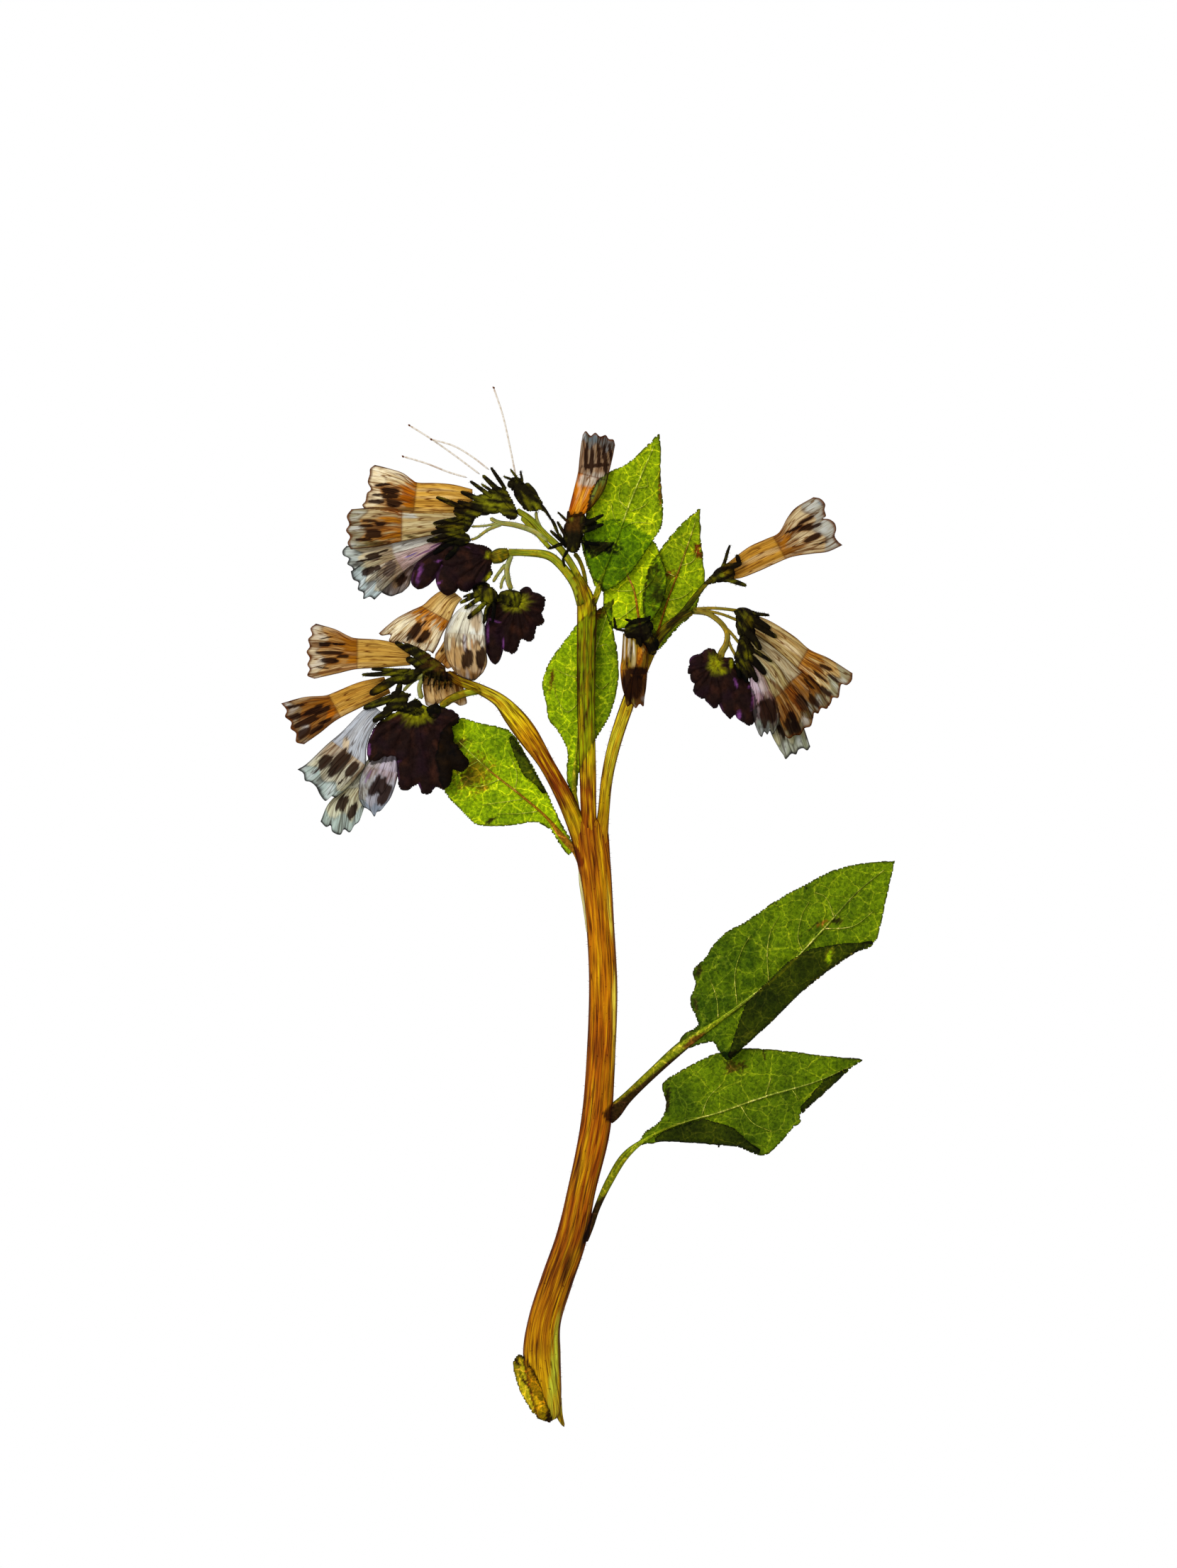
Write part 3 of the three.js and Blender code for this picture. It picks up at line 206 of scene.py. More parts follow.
LEAVES = {
    "leaf_central": {
        "z": 0,
        "outline": [
            [3.5, 39.4], [1.4, 37.9], [-0.9, 36.4], [-3, 33.8], [-4.8, 31.2], [-5.75, 28.3], [-5.2, 25.7],
            [-4.9, 23.8], [-3.3, 21.6], [-2.5, 19.6], [-2.6, 17], [-2.2, 14.7], [-1.4, 14.4], [-1.05, 17.2],
            [0.2, 19.8], [1.5, 22], [2.9, 24.5], [3.7, 27.5], [4, 30.2], [3.6, 33.5], [3.1, 36.8],
        ],
        "midrib": [
            [2.6, 37.4, 0.1], [1.3, 33.5, 0.15], [0, 29, 0.2], [-1, 24.5, 0.2], [-1.4, 20, 0.25],
            [-1.75, 15.6, 0.3, 0.3],
        ],
        "veins": [
            [[1.2, 33], [2.4, 33.4], [3.1, 32.4]], [[0, 29], [-2.2, 29.4], [-4.4, 30.4]],
            [[-0.6, 26.6], [-2.6, 24.8], [-4, 26.9], [-4.2, 28.8]], [[0.2, 29.6], [1.6, 27.8], [2.8, 28.6]],
        ],
        "flaps": [],
    },
    "leaf_mid_left": {
        "z": 0,
        "outline": [
            [-19.3, 19], [-18.3, 14.9], [-16.2, 12.4], [-14.3, 10.6], [-12.2, 10.3], [-9.5, 10.4],
            [-6.8, 10.8], [-5, 10.1], [-3.4, 8], [-2.3, 6.6], [-1.9, 8.2], [-3.3, 10.5], [-4.7, 13.7],
            [-6.2, 16.6], [-8, 19.8], [-9.6, 22.2], [-11.2, 22.9], [-13.5, 23.4], [-16.3, 24], [-18.4, 22.4],
        ],
        "midrib": [
            [-16.5, 21.2, 0.12], [-12.5, 17.4, 0.2], [-8.8, 14.5, 0.25], [-5.3, 11.5, 0.3],
            [-3, 8.7, 0.4, 0.2], [-1.5, 7.1, 0.45, 0.3],
        ],
        "veins": [
            [[-13.8, 18.6], [-15.6, 17.6], [-17.4, 16]], [[-11, 16.3], [-13.4, 15.4], [-15.2, 15.5]],
            [[-8, 13.8], [-10.5, 13.4], [-13.6, 13]], [[-6.2, 12.2], [-8.8, 11.9], [-11.6, 11.9]],
            [[-9.2, 14.8], [-9, 17.2], [-10.2, 20]],
        ],
        "flaps": [
            (
                [[-9.6, 22], [-8, 19.6], [-6.4, 16.8], [-5, 14.4]],
                [[-9.9, 21], [-9.3, 19.2], [-8.2, 16.8], [-5.3, 14.5]],
            ),
        ],
    },
    "leaf_upper_right": {
        "z": 0,
        "outline": [
            [14.35, 50.8], [11.5, 48.3], [9, 45.1], [7.9, 43.2], [7.1, 40], [7.1, 37.4], [8.1, 34.4],
            [9, 32.7], [10.7, 34.6], [12.2, 36.1], [13.7, 37.6], [14.1, 39], [14.9, 41], [14.75, 43.7],
            [14.35, 47.5],
        ],
        "midrib": [
            [13.9, 49.6, 0.1], [12.8, 46.2, 0.15], [11.5, 42.5, 0.2], [10.2, 39, 0.2], [9.2, 35.8, 0.25],
        ],
        "veins": [
            [[12.6, 45.6], [11.4, 46.4]], [[11.3, 42], [9.6, 42.6], [8.4, 42.2]],
            [[11.8, 43.4], [13.4, 44], [14, 45.6]], [[10.2, 39], [12, 39.4], [13.4, 40.4]],
        ],
        "flaps": [],
    },
    "leaf_upper_low": {
        "z": 0.95,
        "outline": [
            [-0.9, 46.8], [-0.4, 44.4], [0.5, 42], [1.9, 40.2], [2.1, 38], [3.1, 35.7], [4.6, 35.4],
            [7.2, 35.7], [9.2, 38], [10.1, 41.5], [9.3, 44.5], [8.4, 46.6], [6, 48.4], [3.5, 49.2],
            [0.8, 48.7],
        ],
        "midrib": [
            [3.8, 45.6, 0.12], [4.7, 43, 0.15], [5.9, 40.2, 0.2], [6.4, 37.4, 0.25], [6.8, 34.6, 0.3],
            [7.5, 32.4, 0.35],
        ],
        "veins": [
            [[5.9, 40.2], [3.6, 40.2], [2.6, 41]], [[6.3, 38.4], [4.6, 37], [3.6, 36.4]],
            [[6.2, 39.6], [8, 41.2], [9, 43]],
        ],
        "flaps": [([[-0.6, 46.2], [0.1, 44.8], [0.5, 44.2]], [[-0.2, 46.3], [3.6, 46.3], [1, 44.4]])],
    },
    "leaf_upper_top": {
        "z": 1.9,
        "outline": [
            [9.1, 60.2], [7.4, 58.4], [5.5, 56.7], [3.9, 55.7], [2.7, 55.2], [1.2, 53.9], [0.2, 51.8],
            [-0.2, 49.6], [-0.5, 47], [-0.2, 44.4], [0.5, 42], [1.3, 40.2], [3.3, 40.6], [5.3, 42.2],
            [7.5, 45.2], [9.2, 48], [9.6, 50.3], [9.3, 54.2], [9.3, 57],
        ],
        "midrib": [
            [8.6, 58.8, 0.1], [7, 55.2, 0.15], [5.2, 50.8, 0.2], [3.7, 46.6, 0.22], [2.2, 42.8, 0.3],
            [1.5, 40.6, 0.4, -0.1], [1, 39.2, 0.4, -0.1],
        ],
        "veins": [
            [[5.2, 50.2], [4, 51.8], [4.2, 53.6]], [[5.4, 50.2], [7, 50.8], [7.8, 51.6]],
            [[4.3, 48.2], [3.4, 49.4], [2.9, 51.6]], [[4.2, 48], [6, 48.8], [8.4, 48.6]],
            [[6.2, 53.2], [7.6, 53.4], [7.4, 54.6]],
        ],
        "flaps": [],
    },
    "leaf_lower_big": {
        "z": 0.95,
        "outline": [
            [39, 5.9], [35, 5.6], [31.2, 4.7], [27.6, 2.9], [23.8, 0.8], [20.2, -1.7], [17, -3.6],
            [14.9, -6.4], [13.4, -8], [13.7, -9.8], [13, -12], [14, -14.9], [12.2, -16.2], [11.4, -18.4],
            [13.6, -17.6], [15.8, -17.1], [16.7, -18.3], [18, -19.4], [20, -17.6], [23.5, -14.4], [26.9, -11],
            [30.2, -8.3], [33.7, -5.9], [36.5, -4.4], [37.9, 0.9],
        ],
        "midrib": [
            [37.8, 4.9, 0.1], [34, 1.7, 0.15], [29.9, -2.8, 0.2], [25.5, -7.4, 0.25], [21, -11.2, 0.35],
            [16.5, -14.5, 0.5], [12.2, -17.5, 0.7, -0.1], [8.1, -21.2, 0.65, -0.2], [5.1, -24.1, 0.7, -0.3],
            [3.4, -25.9, 1, -0.3],
        ],
        "veins": [
            [[30, -2.7], [33.6, -2.4], [36.4, -0.4]], [[31.3, -1.3], [30.3, 1.2], [28.6, 2]],
            [[27.3, -5.6], [26.7, -3.8], [27.2, -1], [28.2, 0.8]],
            [[23, -9.4], [22.8, -6], [23.2, -3.2], [24.4, -1]],
            [[19, -12.5], [18.7, -8.5], [19.6, -5.4], [20.8, -3.4]],
            [[16.6, -14.2], [16.4, -11.6], [15.6, -9.2]],
        ],
        "flaps": [
            ([
                [36.4, -4.5], [33.7, -5.9], [30.2, -8.3], [26.9, -11], [23.5, -14.4], [20, -17.6],
                [18, -19.3],
            ], [
                [32.5, -4.5], [28.3, -5.2], [25.3, -6.9], [22.1, -10], [20, -12.3], [18.9, -15.3],
                [17.9, -18.6],
            ]),
        ],
    },
    "leaf_lower_small": {
        "z": 0,
        "outline": [
            [35.2, -19.4], [30, -18.9], [24.5, -18.2], [20, -18], [16.4, -18.6], [13.3, -20], [9.7, -22.3],
            [10, -25], [9.3, -27], [7, -29], [6.8, -30.2], [10, -29.8], [16, -30.2], [19, -30.5],
            [22.3, -31.6], [24.6, -29.9], [26, -28.2], [27.1, -27.3], [27.2, -26.2], [29, -24.6], [30.8, -23],
            [33.4, -20.6],
        ],
        "midrib": [
            [34, -20, 0.1], [29, -22.2, 0.15], [22.5, -24.1, 0.2], [17, -26, 0.22], [11.5, -27.6, 0.3],
            [7.6, -29.4, 0.4], [4.8, -31.6, 0.5, 0.1], [2.8, -34.8, 0.5, 0.2], [1.3, -38, 0.4, 0.3],
            [0.4, -40.6, 0.4, 0.3],
        ],
        "veins": [
            [[14.5, -26.5], [15.4, -24.2], [17.2, -22.4]], [[22.6, -24], [23.4, -21.4]],
            [[19.4, -25.2], [21, -27.4], [23.6, -28.6]], [[26, -23.2], [27, -24.6]],
        ],
        "flaps": [
            (
                [[8.4, -29.7], [13, -29.9], [19, -30.4], [22.2, -31.5]],
                [[9.5, -28.5], [14.8, -26.8], [18.6, -28], [21.4, -30.6]],
            ),
            (
                [[27.3, -26.2], [29, -24.6], [30.8, -23], [33.2, -20.7]],
                [[27.1, -25.3], [28.4, -23.8], [30, -21.9], [32.6, -20.8]],
            ),
        ],
    },
}

# Pressed corollas: the height, the two edges from base to mouth, and the mouth between their ends
BLOOMS = {
    "corolla_1a": (0.95, [
        [-14.6, 53.1], [-17, 53.7], [-19.2, 53.9], [-21.5, 53.95], [-22.3, 54.35], [-23.5, 55.2],
        [-25.4, 55.8], [-27, 56.2],
    ], [
        [-14.5, 50.4], [-16.7, 50], [-20, 49.9], [-22, 49.95], [-24, 50.05], [-26, 50.3], [-28.3, 50.6],
    ], [
        [-27.6, 55.7], [-27.65, 55], [-27.9, 54], [-27.5, 53.1], [-28, 52.6], [-28.2, 51.6], [-28.6, 51.1],
    ]),
    "corolla_1b": (
        2.1,
        [[-15.6, 49.9], [-20, 50.2], [-23.6, 50.35], [-24.3, 50.6], [-26.5, 50.75], [-29.9, 50.5]],
        [[-15.8, 48], [-20, 47.1], [-24, 46.3], [-27, 45.7], [-30, 45.4]],
        [[-30.5, 49.6], [-30.2, 48.6], [-30.6, 47.8], [-30.1, 47], [-30.4, 46.2]],
    ),
    "corolla_1c": (
        0.95,
        [[-18, 48], [-22, 47.4], [-25, 46.7], [-28, 46], [-30.6, 45.9]],
        [[-18.2, 46.6], [-22, 45.3], [-25.4, 43.9], [-27.5, 42.9], [-29.7, 42.6]],
        [[-31.1, 45.3], [-31, 44.7], [-30.3, 44.3], [-30.5, 43.6], [-29.9, 43.2]],
    ),
    "corolla_1d": (
        2.1,
        [[-17.7, 47.2], [-21, 45.9], [-25, 44.8], [-28, 43.9], [-30, 42.6]],
        [[-18.1, 46.1], [-21, 44.2], [-23.6, 42.3], [-25.4, 40.6], [-27, 39]],
        [[-29.7, 41.6], [-29, 41.2], [-29.1, 40.3], [-28.4, 39.9], [-28.4, 39.1], [-27.6, 39.4]],
    ),
    "corolla_2a": (0.95, [
        [-17.2, 40.3], [-18.6, 40.2], [-19.8, 39.4], [-20.9, 38.4], [-22.4, 37.7], [-24.1, 36.8],
        [-25.4, 35.8], [-26.5, 34.8],
    ], [
        [-15.9, 39.2], [-16.7, 38.1], [-17.5, 36.2], [-18.3, 34.9], [-19, 33.3], [-19.6, 32.2],
    ], [
        [-26.1, 34.5], [-25, 34.6], [-25.2, 33.8], [-24.2, 33.4], [-23.4, 33.6], [-22.7, 32.9], [-21.6, 33],
        [-21, 32.2], [-20.3, 32.6],
    ]),
    "corolla_2c": (
        0.95,
        [[-16.2, 37.5], [-17.6, 35], [-18.6, 33.2], [-19.3, 32.2]],
        [[-14.7, 37.3], [-14.8, 34.2], [-15, 32], [-15.4, 30.6]],
        [[-19.4, 31.2], [-18.5, 31], [-17.8, 30.3], [-16.9, 30.6], [-16, 30.2]],
    ),
    "corolla_3a": (2.1, [
        [-22.4, 33.1], [-26, 33.9], [-29.3, 34.15], [-30.4, 34.5], [-32, 35.3], [-34.4, 36],
    ], [
        [-22.4, 30.7], [-26, 30.4], [-29.3, 30.2], [-31.5, 29.7], [-34.6, 29],
    ], [
        [-35.1, 35.4], [-34.9, 34.6], [-35.4, 34], [-35.2, 33.1], [-35.6, 32.4], [-35.2, 31.6], [-35.5, 30.8],
        [-35.2, 30.2], [-35.5, 29.4],
    ]),
    "corolla_3b": (
        0.95,
        [[-25.8, 29.3], [-29, 28.6], [-32.2, 27.3], [-33.4, 26.9], [-36, 26.7], [-38.9, 25.9]],
        [[-25, 27.2], [-28.5, 25.5], [-31.8, 23.8], [-34, 22.1], [-36, 20.7]],
        [[-38.2, 25], [-38.4, 24.2], [-37.6, 23.5], [-37.7, 22.7], [-37, 22.1], [-37, 21]],
    ),
    "corolla_3c": (
        2.1,
        [[-27.3, 25.8], [-28.6, 24.9], [-31, 22.4], [-33.1, 20.6], [-35.5, 18.3], [-36.75, 17.5]],
        [[-25.8, 24.5], [-27.3, 22.4], [-28, 20.2], [-28.1, 18], [-29, 16.7], [-30.3, 15.2], [-31.9, 13.9]],
        [[-36, 17], [-35.8, 16.1], [-35.1, 15.9], [-34.4, 15.3], [-33.9, 14.3], [-33.2, 13.5], [-32.6, 14.1]],
    ),
    "corolla_3d": (0.95, [
        [-27.1, 19.7], [-29.4, 17], [-31.6, 14.6], [-33, 13], [-33.9, 10.9],
    ], [
        [-25.8, 18.9], [-27.4, 15.5], [-28.1, 13.4], [-28.5, 12.2],
    ], [
        [-33.2, 10.2], [-32.6, 10.4], [-32.4, 9.6], [-31.4, 9.2], [-30.9, 9.9], [-30.2, 9.5], [-29.6, 10.4],
        [-29, 10.9],
    ]),
    "corolla_3f": (
        0.95,
        [[-20.4, 29.9], [-20.9, 28.3], [-20.6, 26], [-20.4, 25.6]],
        [[-16.8, 30], [-15.9, 28.3], [-15.3, 26.2], [-15.4, 25.8]],
        [[-19.6, 25.5], [-18.7, 25.9], [-17.9, 25.5], [-17, 26], [-16.2, 25.6]],
    ),
    "corolla_4": (
        3.4,
        [[-2.6, 49.3], [-2.2, 51], [-1.7, 53], [-1.2, 55.1], [-1, 57], [-0.8, 58.6], [-0.6, 59.8]],
        [[-0.6, 49.5], [0.9, 51], [2.2, 53], [2.8, 55.3], [3.2, 57], [3.5, 58.5]],
        [[-0.2, 60.3], [0.4, 59.7], [1, 60.1], [1.6, 59.6], [2.3, 59.8], [2.7, 59.3], [3.3, 59.2]],
    ),
    "corolla_5": (
        3.4,
        [[4.5, 34.7], [4.4, 33], [4.3, 31.5], [4.15, 30], [4.4, 27.8], [4.9, 26.4]],
        [[7.4, 34.7], [7.6, 33], [7.7, 31.5], [7.6, 30], [7.4, 27.6], [7.1, 26.3]],
        [[5, 25.4], [5.6, 25.8], [6.1, 25.2], [6.6, 25.8], [7.1, 25.4]],
    ),
    "corolla_6": (0.95, [
        [16.9, 43], [19, 44.7], [20.7, 45.9], [22.7, 46.8], [24.3, 47.6], [25.4, 49.5], [26.5, 50.8],
        [28.7, 52.1],
    ], [
        [17.6, 41.7], [19.4, 41.8], [21.8, 42.7], [24, 43.7], [26, 44.5], [28.5, 44.9], [30.5, 45.15],
        [32.4, 46],
    ], [
        [29.6, 51.9], [30.2, 51.2], [30.1, 50.5], [30.3, 49.7], [29.9, 49.4], [30.7, 49.3], [31.4, 48.8],
        [31.6, 48], [31.4, 47.2], [31.8, 46.5],
    ]),
    "corolla_7a": (
        2.1,
        [[20.4, 37.4], [23.2, 36.3], [26.2, 34.4], [28.2, 32.7], [30.6, 31.6], [33.6, 29.7]],
        [[19.6, 35.6], [21.6, 34.4], [24, 32.6], [26.5, 30.4], [28.7, 28.4], [30.6, 25.5]],
        [[33.5, 28.8], [32.9, 28.2], [32.2, 28.3], [32, 27.6], [31.8, 26.6], [31.1, 26.6], [30.9, 26]],
    ),
    "corolla_7b": (
        0.95,
        [[20.6, 35.6], [25.2, 32.2], [26.9, 30.3], [29.3, 28.2], [30.7, 25.8]],
        [[19.6, 34], [23, 31], [24.4, 28.5], [26.2, 25.7], [27.8, 23.9]],
        [[30.4, 25.2], [29.7, 25.3], [29.3, 24.6], [28.8, 24.7], [28.6, 23.9]],
    ),
    "corolla_7c": (
        2.1, [[20.6, 34], [24.2, 30.6], [25.6, 28.4], [27.6, 26], [28.6, 24]],
        [[19.6, 32.2], [22, 29.4], [23, 27.2], [24.2, 24.2], [25, 21.8]],
        [[28.3, 23], [27.5, 22.7], [27, 21.9], [26.2, 21.8], [25.6, 21.4]],
    ),
    "corolla_7d": (
        0.95,
        [[21, 32.2], [24, 28.6], [25.3, 26.6], [27.2, 23.5], [28.3, 20.4]],
        [[20, 31], [21.9, 27.6], [22.6, 25.7], [23.2, 22.4], [24.4, 20]],
        [[27.9, 19.9], [27.4, 20.2], [26.8, 20], [26.5, 19.4], [25.9, 19.5], [25.2, 18.8], [24.9, 19.3]],
    ),
    "corolla_1e": (
        0.95,
        [[-17.9, 45.8], [-19.8, 44.6], [-21.6, 43.1], [-22.3, 42], [-22.6, 40.9], [-23.5, 40]],
        [[-17.7, 47], [-20.5, 46.2], [-24, 44.5], [-26.2, 43.2], [-26.8, 42], [-26.8, 40.9]],
        [[-24.3, 39.7], [-25, 39.5], [-26, 39.9], [-26.5, 40.4]],
    ),
    "corolla_2b": (
        2.1,
        [[-15.5, 38.4], [-16.8, 37.3], [-17.8, 35.7], [-18.2, 33.6], [-17.8, 31.4], [-16.8, 29.8]],
        [[-13.6, 38.4], [-13.1, 36.6], [-12.9, 34.4], [-12.8, 32.6], [-12.7, 31], [-13.2, 29.8]],
        [[-16, 29.2], [-15.2, 28.9], [-14.4, 28.75], [-13.8, 29.2]],
    ),
    "corolla_3e": (
        2.1,
        [[-26.4, 19.6], [-28, 18], [-28.8, 16.4], [-29, 14], [-28.4, 12.7]],
        [[-24.2, 19.2], [-24, 17], [-24.8, 14.2], [-25.9, 12.6]],
        [[-27.9, 12.5], [-27.4, 12.1], [-27, 11.5], [-26.7, 12.1], [-26.3, 12.2]],
    ),
    "corolla_7e": (
        2.1,
        [[21.6, 31.4], [22.9, 28.4], [24, 26], [24.4, 24.2], [24, 22.8]],
        [[20.2, 31], [20.7, 27.4], [20.8, 25], [21.2, 23.3], [21.7, 22]],
        [[23.5, 21.9], [23.1, 22.4], [22.8, 21.9], [22.4, 22.3], [22.1, 21.6]],
    ),
}

# The crowded bodies of buds and of calyces: the height of the top, and the outline or outlines
BUD_BODIES = {
    "buds_1": (2.62, [
        [-19.3, 45.2], [-18.4, 46.3], [-17, 46.8], [-15.2, 46.3], [-13.6, 46], [-12.3, 45.5], [-11.9, 44.4],
        [-12.2, 43.2], [-12, 42.2], [-12.6, 41.4], [-13.8, 41], [-14.3, 40.5], [-15.3, 39.95], [-16.2, 40.2],
        [-16.7, 40.6], [-17.2, 42], [-18.3, 43],
    ]),
    "buds_2": (1.72, [
        [-11.4, 39.7], [-12.3, 38.4], [-12.9, 36.8], [-12.4, 35.2], [-11.4, 34], [-10.7, 32.6], [-10.2, 32.5],
        [-9.6, 32.1], [-9, 32.5], [-8.7, 33.2], [-8.3, 34], [-7.6, 33.75], [-6.9, 34], [-6.6, 34.8],
        [-6.4, 35.6], [-5.7, 35.9], [-5.5, 36.4], [-5.8, 37.2], [-5.5, 37.9], [-5.3, 39], [-5.7, 39.6],
        [-6.5, 40], [-7.2, 40.1], [-7.9, 40.7], [-8.6, 40.4], [-8.7, 39.8], [-9.6, 39.5], [-10.4, 39.8],
    ]),
    "buds_3": (2.38, [
        [-26.3, 23.7], [-25, 24.5], [-23.8, 25.1], [-22.6, 25.7], [-21.9, 26.6], [-21.2, 26.2], [-20.6, 25.6],
        [-19.8, 25.6], [-19.2, 26.1], [-18.7, 25.6], [-17.9, 25.3], [-16.7, 24.7], [-16.2, 24.1],
        [-16.5, 23.2], [-17.2, 22.8], [-16.9, 21.8], [-17, 21.1], [-16.5, 20.7], [-16, 19.9], [-15.3, 19.1],
        [-15, 18.3], [-15.3, 17.6], [-16, 17.2], [-17, 17.5], [-17.1, 16.6], [-17.4, 15.6], [-18.3, 15],
        [-19.2, 15.3], [-19.7, 14.6], [-20.4, 14.3], [-21.1, 14.6], [-21.3, 15.6], [-21.8, 15.5], [-22.4, 15],
        [-23.4, 14.8], [-23.9, 15.4], [-23.9, 16.6], [-23.5, 17.9], [-24.4, 18.6], [-25.4, 18.4],
        [-26.4, 18.3], [-27.4, 18.1], [-27.9, 19], [-27.8, 20.6], [-27.6, 21.6], [-27.1, 22.8],
    ]),
    "buds_7": (2.42, [
        [15.2, 32.9], [16.1, 32.8], [16.6, 32.1], [17.4, 31.7], [18.4, 31.6], [19, 30.4], [20.2, 29.2],
        [20.9, 27.6], [21.4, 26], [21.5, 24.4], [21.2, 23.4], [20.4, 23.05], [19.6, 23.5], [19, 24.4],
        [18.6, 24.4], [18.1, 23.95], [17.5, 24.5], [17, 25.5], [16.8, 25.7], [16.3, 25.25], [15.7, 25.4],
        [15.1, 26.1], [14.9, 26.5], [14.3, 26.5], [14, 27], [13.6, 26.9], [13.4, 27.6], [13.6, 28.5],
        [13.1, 29], [13.2, 29.5], [12.7, 29.6], [12.8, 30.5], [13.4, 31], [14, 31.7], [14.2, 32.2],
        [14.8, 32.5],
    ]),
}
# Yellow-green hearts where the flower stalks run into a bunch: [x, y, half length, half width, turn]
HEARTS = {
    "buds_1": [[-12.4, 44.6, 0.7, 0.6, 0], [-12.6, 41.8, 0.5, 0.9, -40]],
    "buds_2": [[-9, 38.6, 2, 1.2, 10], [-11.4, 39.3, 0.7, 0.6, 0]],
    "buds_3": [[-21.6, 25.2, 2.4, 2.3, 10], [-24.6, 24.6, 1.6, 0.6, 30]],
    "buds_7": [[16.2, 30.9, 1.15, 1.5, 0], [18.2, 30.9, 0.3, 0.9, 0], [17, 30, 0.8, 0.6, 0]],
}
CALYX_BODIES = {
    "calyces_1": (2.75, [
        [
            [-8.7, 49.5], [-9.3, 51.3], [-10.2, 52.8], [-10.9, 53.3], [-12, 53.2], [-12.8, 52.4],
            [-12.6, 51.5], [-11.6, 50.5], [-10.4, 49.4], [-9.4, 49.1],
        ],
        [
            [-11.4, 50.2], [-12.2, 50], [-13.2, 49.9], [-14.2, 50.3], [-15.1, 50.9], [-14.3, 51.9],
            [-13.2, 52.5], [-12.1, 52.2], [-11.2, 51.2],
        ],
        [
            [-13, 50], [-14.2, 49.2], [-15.2, 48.9], [-16.1, 49.2], [-17, 50.1], [-16.5, 51], [-15.5, 51.3],
            [-14.2, 50.6],
        ],
        [
            [-15, 48.2], [-15.6, 48.9], [-16.9, 49.1], [-17.9, 48.6], [-17.8, 47.6], [-16.6, 47.1],
            [-15.4, 47.4],
        ],
        [
            [-14.8, 46.9], [-16, 47.5], [-17.6, 47.4], [-18.1, 46.6], [-17.2, 45.7], [-15.8, 45.8],
            [-14.8, 46.3],
        ],
    ]),
    "calyx_1_spent": (2.75, [
        [
            [-5.2, 49.9], [-5.6, 51.2], [-6.2, 52.1], [-7.2, 52.9], [-8.1, 53.9], [-8.6, 54.5], [-9.6, 54.4],
            [-10.2, 53.6], [-9.6, 52.9], [-9, 52], [-8.6, 51.2], [-8, 50.4], [-7, 50.15], [-6, 50.3],
        ],
    ]),
    "calyces_2": (2.7, [
        [
            [-11.4, 40], [-12, 40.6], [-13, 40.7], [-14.2, 40.3], [-14.6, 39.5], [-13.9, 38.8], [-13, 38.6],
            [-12.4, 38.3], [-11.7, 38.6], [-11.3, 39.2],
        ],
    ]),
    "calyces_3": (2.7, [
        [
            [-16.8, 29.2], [-18.3, 30.3], [-19.6, 31.2], [-20.8, 32.1], [-21.9, 32], [-22.2, 31],
            [-21.6, 30.1], [-20.6, 29.5], [-19.4, 29], [-18, 28.6],
        ],
        [[-21.2, 30], [-22.6, 30.3], [-24.1, 30], [-25, 29.4], [-24.4, 28.4], [-23.3, 28.5], [-22.1, 28.9]],
        [
            [-22.2, 27.2], [-23.4, 27.2], [-24.6, 27.1], [-25.6, 26.5], [-25.5, 25.6], [-24.6, 24.9],
            [-23.5, 25.2], [-22.8, 26],
        ],
    ]),
    "calyx_4": (3.75, [
        [
            [-2.5, 50.4], [-2.7, 49.1], [-2.9, 47.9], [-3.1, 46.8], [-2.9, 45.8], [-2.4, 45.1], [-1.7, 44.9],
            [-1, 45.3], [-0.8, 46.4], [-0.4, 47.3], [0.4, 48], [1.1, 48.4], [1, 49.3], [0, 49.2],
            [-0.4, 49.8], [-0.9, 50.1], [-1.2, 49.8], [-1.6, 50.1], [-2, 49.8],
        ],
    ]),
    "calyx_5": (4.1, [
        [
            [4.6, 35.1], [4.9, 35.8], [5.9, 36.5], [7.1, 36.7], [8, 36.4], [8.3, 35.5], [8.1, 34.6],
            [8.9, 34], [9, 33], [8.6, 32.2], [7.9, 32], [7.5, 32.8], [7, 33.4], [6.2, 33.3], [6.1, 33.9],
            [5.5, 34.1], [4.9, 34.1],
        ],
    ]),
    "calyx_6": (2.3, [
        [
            [14.6, 41.1], [15.9, 42.3], [16.8, 43.1], [17.8, 43.5], [18.6, 43], [18.7, 42], [18, 41.3],
            [16.6, 41.2], [15.4, 40.9],
        ],
    ]),
    "calyces_7": (2.75, [
        [
            [18.5, 37.6], [20.4, 37.8], [21.6, 37.3], [21.8, 36.6], [21.2, 35.9], [21.3, 35], [21, 34.2],
            [20.5, 34.4], [19.9, 34.8], [19.3, 34.2], [18.9, 35.2], [18.8, 36.6],
        ],
        [
            [19.3, 34.4], [20.2, 33.7], [20.9, 33.3], [21.2, 32.4], [20.7, 31.4], [21, 30.2], [20.8, 29.2],
            [20, 28.9], [19.3, 29.6], [18.8, 30.8], [18.6, 31.8], [18.9, 32.8],
        ],
    ]),
}
